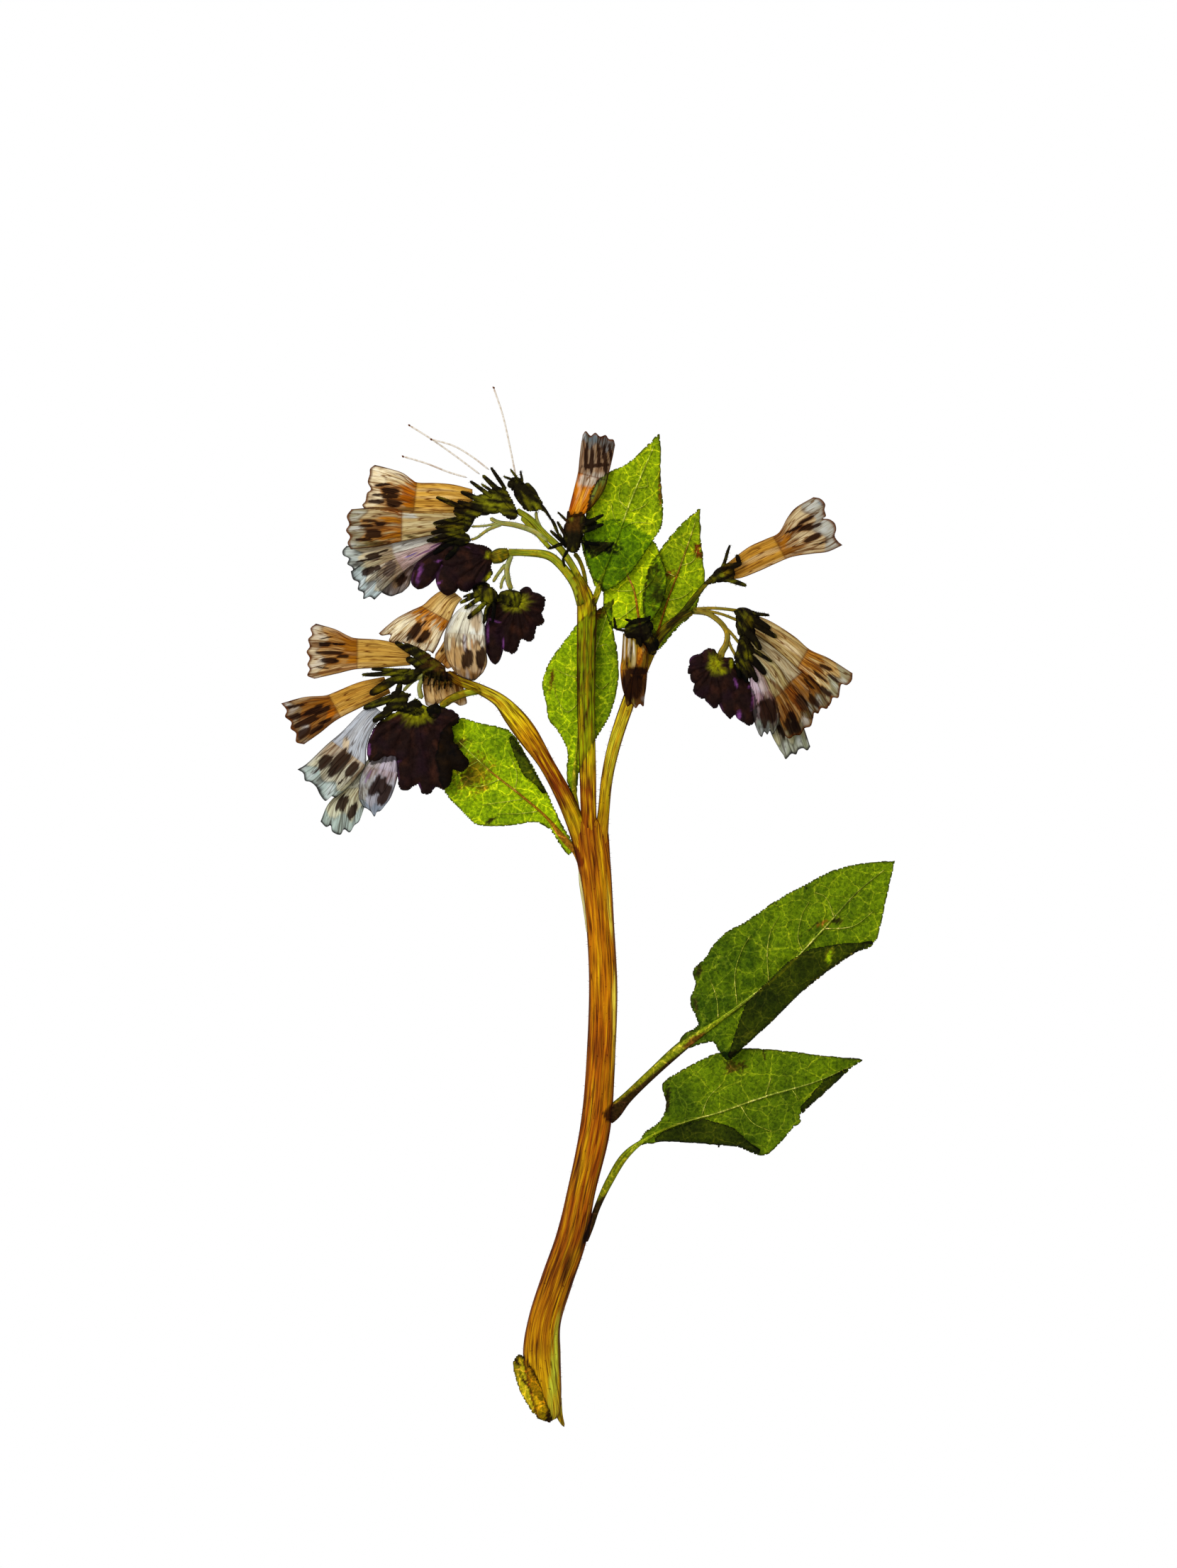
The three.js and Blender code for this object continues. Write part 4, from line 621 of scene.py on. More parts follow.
# The calyx lobes: root, tip and half width
CALYX_LOBES = {
    "calyces_1": [
        [-12, 52, -14.9, 54.05, 0.28], [-10.8, 52.4, -13.3, 54.8, 0.34], [-10.3, 52.9, -12.25, 55.8, 0.26],
        [-11.6, 52.4, -13.5, 53.7, 0.2], [-12.8, 51.4, -16.1, 52.7, 0.36], [-13.2, 50.3, -16.5, 51.5, 0.36],
        [-15.4, 50.6, -19.2, 52, 0.34], [-15.5, 49.6, -19.6, 48.6, 0.32], [-15.5, 48.9, -19.3, 48.1, 0.3],
        [-15.5, 48.4, -19.9, 47.4, 0.34], [-16, 47.6, -20.4, 46.4, 0.36], [-16.4, 46.9, -19.8, 46.3, 0.24],
        [-16.8, 46.3, -19.6, 44.8, 0.32], [-16.4, 46, -18, 44, 0.38], [-9.4, 50.4, -10.9, 52, 0.24],
    ],
    "calyx_1_spent": [
        [-8.6, 54, -9.8, 55.6, 0.17], [-8.3, 53.6, -8.45, 55.4, 0.17], [-9, 54, -10.7, 54.65, 0.17],
        [-9.2, 53.4, -10.2, 53.5, 0.2], [-5.8, 51, -4.5, 49, 0.2], [-4.6, 49.3, -3.6, 47.1, 0.22],
        [-3.7, 47.4, -2.7, 45.5, 0.24],
    ],
    "calyces_2": [
        [-13.4, 39.9, -16.2, 38.55, 0.3], [-13.4, 39.3, -15.6, 37.85, 0.3], [-12.9, 38.8, -15.2, 36.55, 0.34],
        [-12.4, 38.5, -13.2, 35.9, 0.3], [-11.9, 38.8, -12, 36, 0.26], [-13.6, 40.2, -15.8, 39.3, 0.2],
    ],
    "calyces_3": [
        [-20.6, 31.4, -24.4, 33.7, 0.42], [-19.8, 31.6, -23.2, 33.4, 0.45], [-21, 30.8, -23, 31.6, 0.5],
        [-20, 30.8, -22.2, 32.4, 0.5], [-22.6, 30.1, -27.4, 30.2, 0.28], [-23.2, 29.6, -28.6, 29.5, 0.32],
        [-24.2, 29, -27.6, 27, 0.62], [-24.6, 26.8, -28.4, 25.2, 0.5], [-24.5, 25.6, -27.2, 23.5, 0.48],
        [-23.4, 26, -25.9, 25, 0.45], [-19.8, 30.2, -20.2, 28.1, 0.16], [-19.2, 30.2, -19.5, 27.8, 0.16],
        [-18.6, 29.9, -18.8, 27.5, 0.16], [-18, 29.6, -18.1, 27.6, 0.15], [-20.5, 30, -20.9, 28.6, 0.15],
        [-17.4, 29.2, -17.3, 27.8, 0.14],
    ],
    "calyx_4": [
        [-2.3, 48.6, -3.8, 50.1, 0.17], [-2.6, 46.8, -3.85, 48.9, 0.22], [-2.6, 45.8, -4.75, 47.75, 0.25],
        [-2.5, 46.1, -5, 45.4, 0.23], [-2.3, 45.4, -3.15, 44.1, 0.2], [-3.15, 44.3, -2.85, 43, 0.17],
        [-1, 48.2, 2.1, 49.7, 0.28], [-1, 47.5, 2.1, 48.5, 0.3], [-1, 46.4, 1.6, 45.8, 0.25],
    ],
    "calyx_5": [
        [5.2, 35.1, 3.5, 35.2, 0.17], [3.65, 35.1, 3.35, 36.8, 0.18], [7.6, 34.6, 8.6, 32, 0.34],
        [6.2, 36, 4.7, 36.5, 0.2], [7.2, 36, 8, 36.9, 0.25], [6.6, 34.4, 6.7, 32.9, 0.3],
    ],
    "calyx_6": [
        [16.9, 42.8, 18.1, 46, 0.22], [16.6, 42.5, 18.2, 43.6, 0.4], [17.4, 42.7, 19.6, 43.7, 0.4],
        [19.3, 43.5, 18.9, 44.8, 0.3], [17, 41.9, 20.2, 40.75, 0.34], [16.6, 42.2, 18.6, 41.6, 0.4],
    ],
    "calyces_7": [
        [20.6, 37.3, 23.1, 37, 0.24], [20.8, 36.6, 23.2, 35.3, 0.42], [20.8, 36, 24, 34.2, 0.38],
        [20.2, 35.2, 22, 32.6, 0.46], [20.4, 33, 23.4, 31.1, 0.26], [20.4, 32, 22.6, 29.5, 0.46],
        [20, 31.6, 21.5, 28.5, 0.42], [19.6, 31, 20.2, 28.4, 0.38], [19, 31.2, 19.2, 29, 0.3],
        [19.6, 36.4, 20.6, 34, 0.5], [19.4, 34, 20.2, 31, 0.5],
    ],
}
# Violet edges of the buds
RIMS = {
    "buds_1": [[-21.3, 42.3, 0.25, 1.5, -14], [-19.3, 40.9, 1.1, 0.18, 25], [-18.8, 43.9, 0.5, 0.15, 20]],
    "buds_2": [[-12.7, 35, 0.2, 1.8, 0], [-11.9, 36.4, 0.9, 0.15, -20], [-10.7, 33.4, 0.15, 0.9, 0]],
    "buds_3": [[-27.7, 20, 0.25, 1, 0], [-27.4, 22, 0.2, 1.1, -25], [-24.6, 18.5, 1.1, 0.12, 5]],
    "buds_7": [
        [18.8, 28.5, 0.2, 0.8, 20], [20.6, 28, 0.35, 0.3, 0], [19.2, 24.4, 0.3, 0.8, 0],
        [20.9, 26, 0.15, 1.4, 0],
    ],
}

# The pale wing of skin that has lifted from the stalk below the leaf
PALE_WING = [
    [-1, 5.6, 0.9, 0.15, 0.2], [-0.75, 3, 0.9, 0.3, 0.25], [-0.3, 0, 0.9, 0.28, 0.25],
    [0, -3.4, 0.9, 0.1, 0.15],
]
# Which flower stalks are paler, darker or browner than the rest
PALE_FORKS = (4, 5, 6, 7, 8, 9, 10, 13, 14)
DARK_FORKS = (1, 11, 15)
BROWN_FORKS = (16, 17, 18, 19, 20)
# Where each midrib runs on into the stalk: x, y, half width, lift
RIB_ROOTS = {
    "leaf_central": [[-1.35, 13, 0.28, 0.4], [-1, 11.3, 0.22, 0.4]],
    "leaf_mid_left": [[-0.6, 5.2, 0.5, 0.4]],
    "leaf_upper_right": [[8.9, 34.3, 0.3, 0]],
    "leaf_upper_top": [[0.55, 38, 0.42, -0.3], [0.2, 36.6, 0.3, -0.4]],
    "leaf_lower_big": [[2.3, -27, 0.9, -0.2]],
    "leaf_lower_small": [[-0.4, -42.6, 0.4, 0.3]],
}


def ink(red, green, blue):
    """A colour as the eye reads it, 0 to 255, turned into an amount of light"""
    return tuple(max(DARKEST, (c / 255) ** GAMMA) for c in (red, green, blue))


def mix(first, second, share):
    share = min(1.0, max(0.0, share))
    return tuple(a + (b - a) * share for a, b in zip(first, second))


def rise(low, high, value):
    """0 below low, 1 above high, and a soft step between them"""
    t = min(1.0, max(0.0, (value - low) / (high - low)))
    return t * t * (3 - 2 * t)


def flow(points, step=0.2):
    """A smooth line through points: rows about step apart, and the length gone at each row"""
    pts = np.array(points, float)
    wide = np.vstack([2 * pts[0] - pts[1], pts, 2 * pts[-1] - pts[-2]])
    rows = []
    for a, b, c, d in zip(wide, wide[1:], wide[2:], wide[3:]):
        count = max(1, math.ceil(np.linalg.norm((c - b)[:2]) / step))
        for t in np.arange(count) / count:
            bend = (2 * a - 5 * b + 4 * c - d) * t * t + (3 * b - a - 3 * c + d) * t**3
            rows.append(0.5 * (2 * b + (c - a) * t + bend))
    rows.append(pts[-1])
    rows = np.array(rows)
    gone = np.concatenate([[0], np.cumsum(np.linalg.norm(np.diff(rows[:, :2], axis=0), axis=1))])
    return rows, gone


def along(line, share):
    """The values of a flowing line at a share of its length"""
    rows, gone = line
    return np.array([np.interp(share * gone[-1], gone, rows[:, k]) for k in range(rows.shape[1])])


def way_along(line, share):
    """Which way a flowing line runs at a share of its length"""
    ahead = along(line, min(1, share + 0.01)) - along(line, max(0, share - 0.01))
    return Vector((ahead[0], ahead[1])).normalized()


def fraying(x, y):
    """How the edge of a stain wavers"""
    return 0.4 * noise.noise((x * 1.9, y * 1.9, 3.3))


def stain(x, y, spots, fray=None, heart=0.85):
    """How deep a point lies in stains of [x, y, half length, half width, turn]; heart is the even part"""
    if fray is None:
        fray = fraying(x, y)
    deepest = 0.0
    for sx, sy, long, wide, turn in spots:
        c, s = math.cos(math.radians(turn)), math.sin(math.radians(turn))
        dx, dy = x - sx, y - sy
        reach = (abs((dx * c + dy * s) / long) ** 3 + abs((dy * c - dx * s) / wide) ** 3) ** (1 / 3)
        deepest = max(deepest, 1 - rise(heart, 1.1, reach + fray))
    return deepest


class Tissue:
    """One dried piece in the making: its mesh in millimetres, its colours and its fibre map"""

    def __init__(self, name, node, slot, finish):
        self.name, self.node, self.slot, self.finish = name, node, slot, finish
        self.bm = bmesh.new()
        self.tint = self.bm.verts.layers.float_color.new("tint")
        self.fibre = self.bm.loops.layers.uv.new("fibre")

    def wrap(self, columns, rows, place):
        """Lays a grid where place(u, v) says: a point, its colour and its place along the fibres"""
        made = bmesh.ops.create_grid(self.bm, x_segments=columns, y_segments=rows, size=0.5)["verts"]
        faces = faces_of(made)
        run = {}
        for vert in made:
            spot, colour, run[vert] = place(vert.co.x + 0.5, vert.co.y + 0.5)
            vert.co = spot
            vert[self.tint] = (*colour, 1)
        for face in faces:
            for loop in face.loops:
                loop[self.fibre].uv = run[loop.vert]
        bmesh.ops.remove_doubles(self.bm, verts=made, dist=0.0005)
        bmesh.ops.recalc_face_normals(self.bm, faces=[face for face in faces if face.is_valid])

    def strand(self, points, paint, sides=12, step=0.35, ribs=0, rib=0.0, cap=0.5):
        """A flattened stalk along points of [x, y, z, half width, half height], with closed round ends"""
        line = flow(points, step)
        length = line[1][-1]
        count = max(4, round(length / step))
        seen = {}

        def section(v):
            key = round(v * count)
            if key not in seen:
                way = way_along(line, v)
                left = min(v, 1 - v) * length
                round_off = math.sqrt(max(0, 1 - (1 - min(left, cap) / cap) ** 2))
                seen[key] = along(line, v), Vector((-way.y, way.x)), round_off
            return seen[key]

        def place(u, v):
            (x, y, z, width, height), side, end = section(v)
            angle = 2 * math.pi * u
            girth = end * (1 + rib * math.cos(ribs * angle + 2 * math.sin(v * length * 0.13)))
            across = math.cos(angle)
            spot = Vector((
                x + side.x * width * across * girth,
                y + side.y * width * across * girth,
                max(LOWEST_SKIN, z + height * math.sin(angle) * girth),
            ))
            return spot, paint(across, v, spot.x, spot.y), (width * across + 9 * (u > 0.5), v * length)

        self.wrap(sides, count, place)

    def spike(self, root, tip, colour):
        """A stiff hair from root to tip"""
        way = tip - root
        turn = way.to_track_quat("Z", "Y").to_matrix().to_4x4()
        made = bmesh.ops.create_cone(
            self.bm, segments=3, radius1=HAIR_RADIUS, radius2=0, depth=way.length, cap_ends=True,
            matrix=Matrix.Translation((root + tip) / 2) @ turn,
        )["verts"]
        for vert in made:
            vert[self.tint] = (*colour, 1)

    def bristles(self, points, count, long, colour):
        """Stiff hairs standing out from both edges of a stalk of [x, y, z, half width, ...]"""
        line = flow(points, 0.5)
        for _ in range(count):
            v = random.random()
            x, y, z, width, *_ = along(line, v)
            way = way_along(line, v).to_3d()
            side = Vector((-way.y, way.x, 0)) * random.choice((-1, 1))
            root = Vector((x, y, z)) + side * width * 0.93
            lean = way * random.uniform(-0.5, 0.5) + Vector((0, 0, random.uniform(-0.2, 0.5)))
            tip = root + (side + lean) * long * random.uniform(0.4, 1)
            tip.z = max(LOWEST_HAIR, tip.z)
            self.spike(root, tip, colour)


pieces = []


def start(name, node, slot, finish):
    piece = Tissue(name, node, slot, finish)
    pieces.append(piece)
    return piece


def faces_of(verts):
    """Each face that touches any of some vertices, once"""
    return list(dict.fromkeys(face for vert in verts for face in vert.link_faces))


# Colours of the dried tissues, as seen on a lit white table
AMBER = ink(176, 96, 6)
GOLD = ink(222, 166, 16)
BARK = ink(96, 44, 4)
OLIVE = ink(128, 112, 12)
UMBER = ink(46, 26, 14)
RUSSET = ink(104, 58, 18)
INK_BLACK = ink(24, 14, 15)
NEAR_BLACK = ink(26, 22, 8)
VIOLET = ink(126, 70, 134)
PALE_HAIR = ink(206, 200, 176)
HONEY_BROWN = ink(168, 110, 30)
BROWN_EDGE = ink(44, 40, 6)
RUSTY = ink(96, 70, 8)
LEAF_VEIN = ink(186, 204, 70)

# How each corolla has dried: tube, band over the waist, bell, lip, and dark patches [x, y, long, wide, turn]
BLOOM_LOOKS = {
    "corolla_1a": (ink(226, 178, 76), ink(196, 120, 18), ink(238, 214, 156), ink(244, 232, 196), [
        [-24.9, 52.9, 1.1, 0.45, 0], [-25.9, 53.7, 1.1, 0.22, 6], [-24.5, 51.25, 1, 0.55, 0],
        [-26.9, 51.5, 1.1, 0.24, 0], [-24.9, 52.2, 0.9, 0.3, 0], [-26.3, 52.4, 0.9, 0.16, 0],
    ]),
    "corolla_1b": (ink(196, 178, 126), ink(190, 122, 26), ink(176, 156, 112), ink(140, 142, 122), [
        [-27.1, 47.4, 1.1, 0.5, 0], [-28, 48.4, 1.2, 0.2, 0], [-27.6, 49, 1, 0.18, 0],
        [-28.4, 46.6, 1, 0.18, 0], [-26.2, 48.5, 0.9, 0.3, 0],
    ]),
    "corolla_1c": (
        ink(226, 222, 206), ink(220, 196, 150), ink(222, 204, 160), ink(172, 192, 194),
        [[-27.1, 44.5, 0.95, 0.55, 15], [-28.6, 44, 0.9, 0.16, 15], [-25.9, 45.2, 0.8, 0.16, 15]],
    ),
    "corolla_1d": (
        ink(214, 192, 186), ink(208, 194, 160), ink(206, 200, 172), ink(172, 196, 204),
        [[-27.7, 42.6, 0.9, 0.5, 30], [-26.7, 43, 0.6, 0.3, 30]],
    ),
    "corolla_1e": (
        ink(206, 176, 176), ink(166, 138, 130), ink(144, 118, 100), ink(124, 116, 112),
        [[-24.8, 42.9, 1.1, 0.72, 62], [-23.6, 41.6, 0.95, 0.6, 50]],
    ),
    "corolla_2a": (ink(226, 190, 112), ink(214, 134, 26), ink(244, 228, 186), ink(244, 232, 196), [
        [-21.9, 35, 1.2, 0.6, 50], [-20.85, 34.3, 1, 0.5, 50], [-22.5, 34.4, 0.8, 0.25, 50],
        [-21, 35.8, 0.9, 0.14, 50],
    ]),
    "corolla_2b": (
        ink(246, 246, 230), ink(240, 232, 204), ink(206, 170, 116), ink(140, 98, 46),
        [[-15.05, 31.6, 1.15, 0.75, 88], [-13.6, 31.6, 1.2, 0.72, 92]],
    ),
    "corolla_2c": (
        ink(220, 190, 120), ink(200, 146, 60), ink(210, 170, 100), ink(190, 130, 50),
        [[-18.4, 32.6, 0.4, 0.2, 60]],
    ),
    "corolla_3a": (ink(206, 164, 76), ink(178, 112, 20), ink(196, 152, 88), ink(206, 196, 166), [
        [-33.3, 33.3, 0.8, 0.3, 2], [-32.65, 32.3, 1.7, 0.2, 0], [-32.6, 31.3, 1.1, 0.36, 0],
        [-33, 34.2, 0.9, 0.12, 8], [-31.4, 33.4, 0.9, 0.14, 0], [-33.6, 30.4, 0.9, 0.14, -6],
        [-31, 31.8, 0.8, 0.2, 0],
    ]),
    "corolla_3b": (ink(206, 158, 66), ink(160, 100, 28), ink(136, 98, 52), ink(126, 112, 84), [
        [-34.8, 25, 1.3, 0.36, 25], [-33.6, 25, 1.1, 0.3, 25], [-35.6, 23.6, 1.6, 0.4, 25],
        [-34.4, 22.6, 1.2, 0.34, 30], [-36, 22.1, 1.1, 0.5, 30], [-36.8, 25.6, 1.4, 0.2, 12],
        [-33.2, 23.6, 1, 0.25, 25], [-37.2, 24.2, 0.9, 0.3, 20],
    ]),
    "corolla_3c": (ink(190, 196, 204), ink(200, 180, 146), ink(206, 202, 170), ink(160, 186, 186), [
        [-31.5, 18.2, 2, 0.9, 52], [-33.3, 18.5, 1.1, 0.7, 50], [-29.85, 17.4, 1.1, 0.72, 50],
        [-31.3, 15.9, 0.5, 0.14, 40], [-34.2, 17.5, 0.8, 0.12, 45],
    ]),
    "corolla_3d": (
        ink(206, 206, 180), ink(218, 214, 170), ink(216, 216, 180), ink(166, 192, 190),
        [[-31.2, 13.2, 1.15, 0.64, 62], [-29.85, 12.2, 1.05, 0.48, 65]],
    ),
    "corolla_3e": (
        ink(196, 184, 198), ink(190, 176, 186), ink(172, 172, 182), ink(126, 142, 158),
        [[-26.6, 15.4, 1.5, 0.75, 62], [-25.7, 14.4, 1.5, 0.7, 62]],
    ),
    "corolla_3f": (ink(198, 150, 62), ink(196, 150, 76), ink(214, 178, 118), ink(206, 170, 108), [
        [-19.9, 28.6, 1.2, 0.07, 90], [-19.2, 28.5, 1.3, 0.07, 92], [-18.5, 28.4, 1.3, 0.07, 90],
        [-17.8, 28.4, 1.2, 0.07, 88], [-17.1, 28.6, 1, 0.06, 86],
    ]),
    "corolla_4": (ink(222, 130, 12), ink(176, 150, 120), ink(132, 112, 92), ink(92, 106, 112), [
        [-0.2, 57, 1.6, 0.26, 86], [0.6, 56.8, 1.7, 0.26, 88], [1.4, 57, 1.6, 0.24, 90],
        [2.2, 56.7, 1.8, 0.3, 94], [3, 57, 1.5, 0.24, 98], [1, 55.9, 1.9, 0.3, 5],
    ]),
    "corolla_5": (
        ink(138, 116, 30), ink(118, 84, 30), ink(86, 52, 20), ink(70, 50, 30),
        [[5.9, 28, 1.7, 1.6, 0], [6.2, 29.9, 1.3, 0.5, 0], [5, 31, 0.8, 0.12, 88], [5.55, 32, 1.4, 0.07, 88]],
    ),
    "corolla_6": (ink(200, 148, 54), ink(158, 104, 34), ink(206, 184, 140), ink(160, 168, 164), [
        [27.85, 49.25, 1.2, 0.28, 25], [27.7, 48.2, 1, 0.38, 20], [28.7, 48.3, 0.9, 0.18, 28],
        [28.6, 46.9, 1, 0.38, 25], [29.5, 46.2, 1.1, 0.1, 15], [26.2, 48, 1.1, 0.16, 25],
    ]),
    "corolla_7a": (ink(190, 166, 108), ink(200, 138, 50), ink(214, 188, 126), ink(148, 154, 128), [
        [30.3, 30.4, 1, 0.25, -20], [29.4, 29.3, 1.2, 0.2, -40], [31.2, 29, 1.1, 0.16, -40],
        [28.8, 28.6, 1, 0.16, -44], [30.2, 27.4, 1, 0.35, -42],
    ]),
    "corolla_7b": (
        ink(202, 190, 152), ink(178, 120, 44), ink(134, 92, 44), ink(120, 124, 96),
        [[27.2, 26.2, 1.1, 0.6, -54], [28.8, 26.1, 1.2, 0.5, -50], [28.1, 28.4, 1, 0.2, -48]],
    ),
    "corolla_7c": (
        ink(196, 186, 140), ink(176, 126, 58), ink(166, 124, 70), ink(116, 112, 84),
        [[25.6, 22.9, 1.2, 0.6, -62], [26.5, 22.9, 1.1, 0.55, -58], [25.9, 24.2, 0.8, 0.5, -60]],
    ),
    "corolla_7d": (
        ink(206, 196, 160), ink(190, 166, 120), ink(170, 164, 118), ink(132, 140, 118),
        [[24.6, 22.4, 1.1, 0.4, -64]],
    ),
    "corolla_7e": (
        ink(206, 178, 194), ink(176, 140, 156), ink(80, 58, 62), ink(110, 118, 108),
        [[23, 25, 1.7, 1.1, -72], [22.2, 24, 1.1, 0.5, -75]],
    ),
}
# Other marks on the corollas, each with its own colour
BLOOM_MARKS = {
    "corolla_1a": [
        ([[-24.9, 55.1, 2.9, 0.8, -12]], ink(255, 246, 214)), ([[-22.9, 52.3, 1, 1.3, 0]], ink(196, 108, 12)),
        ([[-24.6, 50.5, 3.4, 0.28, 2]], ink(112, 84, 30)),
    ],
    "corolla_1b": [
        ([[-22.6, 49.6, 1.4, 0.35, 0]], ink(206, 214, 214)), ([[-26.6, 46, 3, 0.5, -8]], ink(92, 84, 44)),
        ([[-22, 46.9, 1.6, 0.2, -14]], ink(110, 96, 50)),
    ],
    "corolla_1c": [([[-22.6, 46.4, 2.4, 0.7, 15]], ink(236, 236, 228))],
    "corolla_1d": [
        ([[-19.2, 45.9, 1, 0.12, 24], [-20.9, 44.9, 1.2, 0.1, 26]], VIOLET),
        ([[-22.4, 44.6, 1, 0.1, 24]], ink(120, 110, 190)),
    ],
    "corolla_1e": [
        ([[-19.4, 45.4, 1.2, 0.22, 26], [-20.8, 44, 1, 0.2, 42]], VIOLET),
        ([[-24.3, 41.2, 0.5, 1.1, 0]], ink(150, 120, 84)), ([[-26.3, 40.9, 0.5, 0.9, 0]], ink(140, 150, 170)),
    ],
    "corolla_2a": [
        ([[-24, 35.6, 2, 0.7, 40], [-21.6, 33.1, 1.2, 0.5, 10]], ink(255, 248, 214)),
        ([[-20.3, 35.9, 1.8, 0.5, 60], [-21.4, 36.4, 0.4, 0.8, 0]], ink(214, 142, 40)),
    ],
    "corolla_2b": [
        ([[-15.6, 33.6, 1.5, 0.28, 94]], ink(188, 188, 206)),
        ([[-14.6, 33.4, 0.7, 0.15, 92]], ink(206, 130, 30)),
        ([[-14.1, 36.4, 1.6, 0.8, 94]], ink(190, 160, 116)), ([[-14.6, 29.3, 1.2, 0.5, 0]], ink(70, 52, 34)),
    ],
    "corolla_3b": [([[-32.6, 24.6, 0.5, 1.1, -15]], ink(206, 116, 14))],
    "corolla_3c": [
        ([[-28.6, 22.4, 2.4, 0.3, 55]], ink(206, 210, 216)),
        ([[-30.6, 20.6, 0.5, 1.1, 0]], ink(214, 190, 150)),
    ],
    "corolla_3e": [([[-27.8, 16.6, 1.2, 0.2, 60]], ink(150, 120, 170))],
    "corolla_4": [
        ([[0.6, 54.2, 2.2, 1, 5], [0.9, 52.6, 1.6, 0.3, 70]], ink(206, 200, 184)),
        ([[-0.9, 51.4, 1.9, 0.35, 74]], ink(244, 176, 50)),
        ([[-1.9, 51.6, 1.6, 0.2, 78]], ink(150, 64, 20)),
        ([[1.4, 59.4, 2.6, 0.8, -5]], ink(106, 122, 128)),
    ],
    "corolla_5": [
        (
            [[4.7, 32.9, 1.9, 0.12, 89], [5.25, 32.8, 1.6, 0.11, 89], [5.8, 32.8, 1.3, 0.1, 89]],
            ink(250, 246, 232),
        ),
        ([[6.6, 31.8, 1.4, 0.35, 86], [4.3, 30.6, 2.2, 0.12, 90]], ink(224, 140, 24)),
    ],
    "corolla_6": [
        ([[25, 46.4, 0.5, 1.2, -25]], ink(214, 140, 30)), ([[29.6, 51.3, 0.6, 0.2, -30]], ink(60, 66, 76)),
    ],
    "corolla_7a": [
        ([[25.6, 33, 2, 0.35, -36]], ink(226, 206, 160)), ([[23.4, 32.9, 3.2, 0.45, -42]], ink(112, 98, 60)),
        ([[31, 28, 1.6, 0.6, -44]], ink(206, 200, 160)),
    ],
    "corolla_7c": [
        ([[22.7, 29.7, 2, 0.3, -50]], ink(206, 206, 188)), ([[24.4, 27.6, 0.3, 1.4, 40]], ink(120, 80, 40)),
    ],
    "corolla_7d": [([[23.4, 27, 1.6, 0.3, -62]], ink(222, 216, 196))],
    "corolla_7e": [
        ([[21.9, 28, 1.4, 0.4, -72]], ink(216, 200, 214)), ([[22.2, 23.4, 0.7, 0.6, 0]], ink(130, 140, 126)),
    ],
}
WAISTS = {
    "corolla_3e": 0.3, "corolla_3f": 0.4, "corolla_1e": 0.55, "corolla_2b": 0.45, "corolla_7e": 0.45,
    "corolla_6": 0.52, "corolla_7a": 0.58, "corolla_7b": 0.62, "corolla_7c": 0.6, "corolla_2a": 0.42,
}
YOUNG = (
    "corolla_1c", "corolla_1d", "corolla_1e", "corolla_2b", "corolla_3c", "corolla_3d", "corolla_3e",
    "corolla_7d", "corolla_7e",
)


def tone_at(tones, v):
    """The colour at v in a list of (v, colour)"""
    for (low, first), (high, second) in zip(tones, tones[1:]):
        if v <= high:
            return mix(first, second, (v - low) / max(1e-6, high - low))
    return tones[-1][1]


def barked(tones, seed, edge=BARK, rough=1.0, marks=()):
    """Paint for a stalk: tones along it, long stripes over it, its own marks, and a dark outline"""
    def paint(across, v, x, y):
        colour = tone_at(tones, v)
        broad = noise.noise((across * 3.4, v * 6, seed)) * rough
        fine = noise.noise((across * 12, v * 20, seed + 5)) * rough
        colour = mix(colour, GOLD, 1.4 * max(0, broad) + 0.8 * max(0, fine))
        colour = mix(colour, BARK, 1.4 * max(0, -fine) + 0.5 * max(0, -broad))
        for spots, stained in marks:
            colour = mix(colour, stained, 0.9 * stain(x, y, spots, 0.5 * fine + 0.4 * broad, 0.5))
        return mix(colour, edge, 0.9 * rise(0.8, 0.96, abs(across)))
    return paint


# The tones of each stalk from its root to its tip, and the stains of the main one
MAIN_TONES = [
    (0, ink(206, 192, 50)), (0.06, ink(210, 168, 22)), (0.14, ink(190, 120, 10)), (0.3, ink(156, 80, 6)),
    (0.42, ink(176, 88, 6)), (0.62, ink(196, 106, 6)), (0.8, ink(206, 124, 10)), (1, ink(168, 88, 6)),
]
MAIN_MARKS = [
    ([[3.4, -15.5, 7.5, 0.3, 90], [2.8, -0.5, 4, 0.25, 95]], ink(240, 212, 64)),
    ([[-4, -57.5, 6, 0.7, 84]], ink(190, 192, 50)),
    ([[0.1, -41.2, 4, 0.8, 73], [-1.6, -47, 3, 0.45, 68]], UMBER),
    ([[-2.4, -45.5, 3, 0.5, 70], [-1.1, -33, 3, 0.3, 80]], ink(96, 56, 8)),
]
LEFT_TONES = [
    (0, AMBER), (0.15, ink(190, 164, 16)), (0.27, ink(144, 66, 4)), (0.44, ink(144, 66, 4)),
    (0.56, ink(224, 156, 14)), (0.66, ink(255, 232, 34)), (0.76, ink(248, 234, 54)),
    (0.86, ink(176, 158, 24)), (1, ink(122, 106, 12)),
]
CENTRAL_TONES = [
    (0, ink(160, 84, 6)), (0.2, ink(158, 84, 6)), (0.34, ink(212, 206, 14)), (0.5, ink(208, 208, 12)),
    (0.8, ink(196, 200, 12)), (0.93, ink(190, 178, 20)), (1, ink(160, 166, 26)),
]
RIGHT_TONES = [
    (0, AMBER), (0.15, ink(190, 160, 12)), (0.4, ink(212, 200, 44)), (0.6, ink(216, 196, 40)),
    (0.75, ink(120, 110, 10)), (1, ink(120, 120, 40)),
]
SPLINTER_TONES = [(0, ink(190, 180, 40)), (1, ink(130, 120, 20))]


def wing_paint(across, v, x, y):
    return mix(ink(232, 224, 150), OLIVE, rise(0.6, 1, abs(across)))


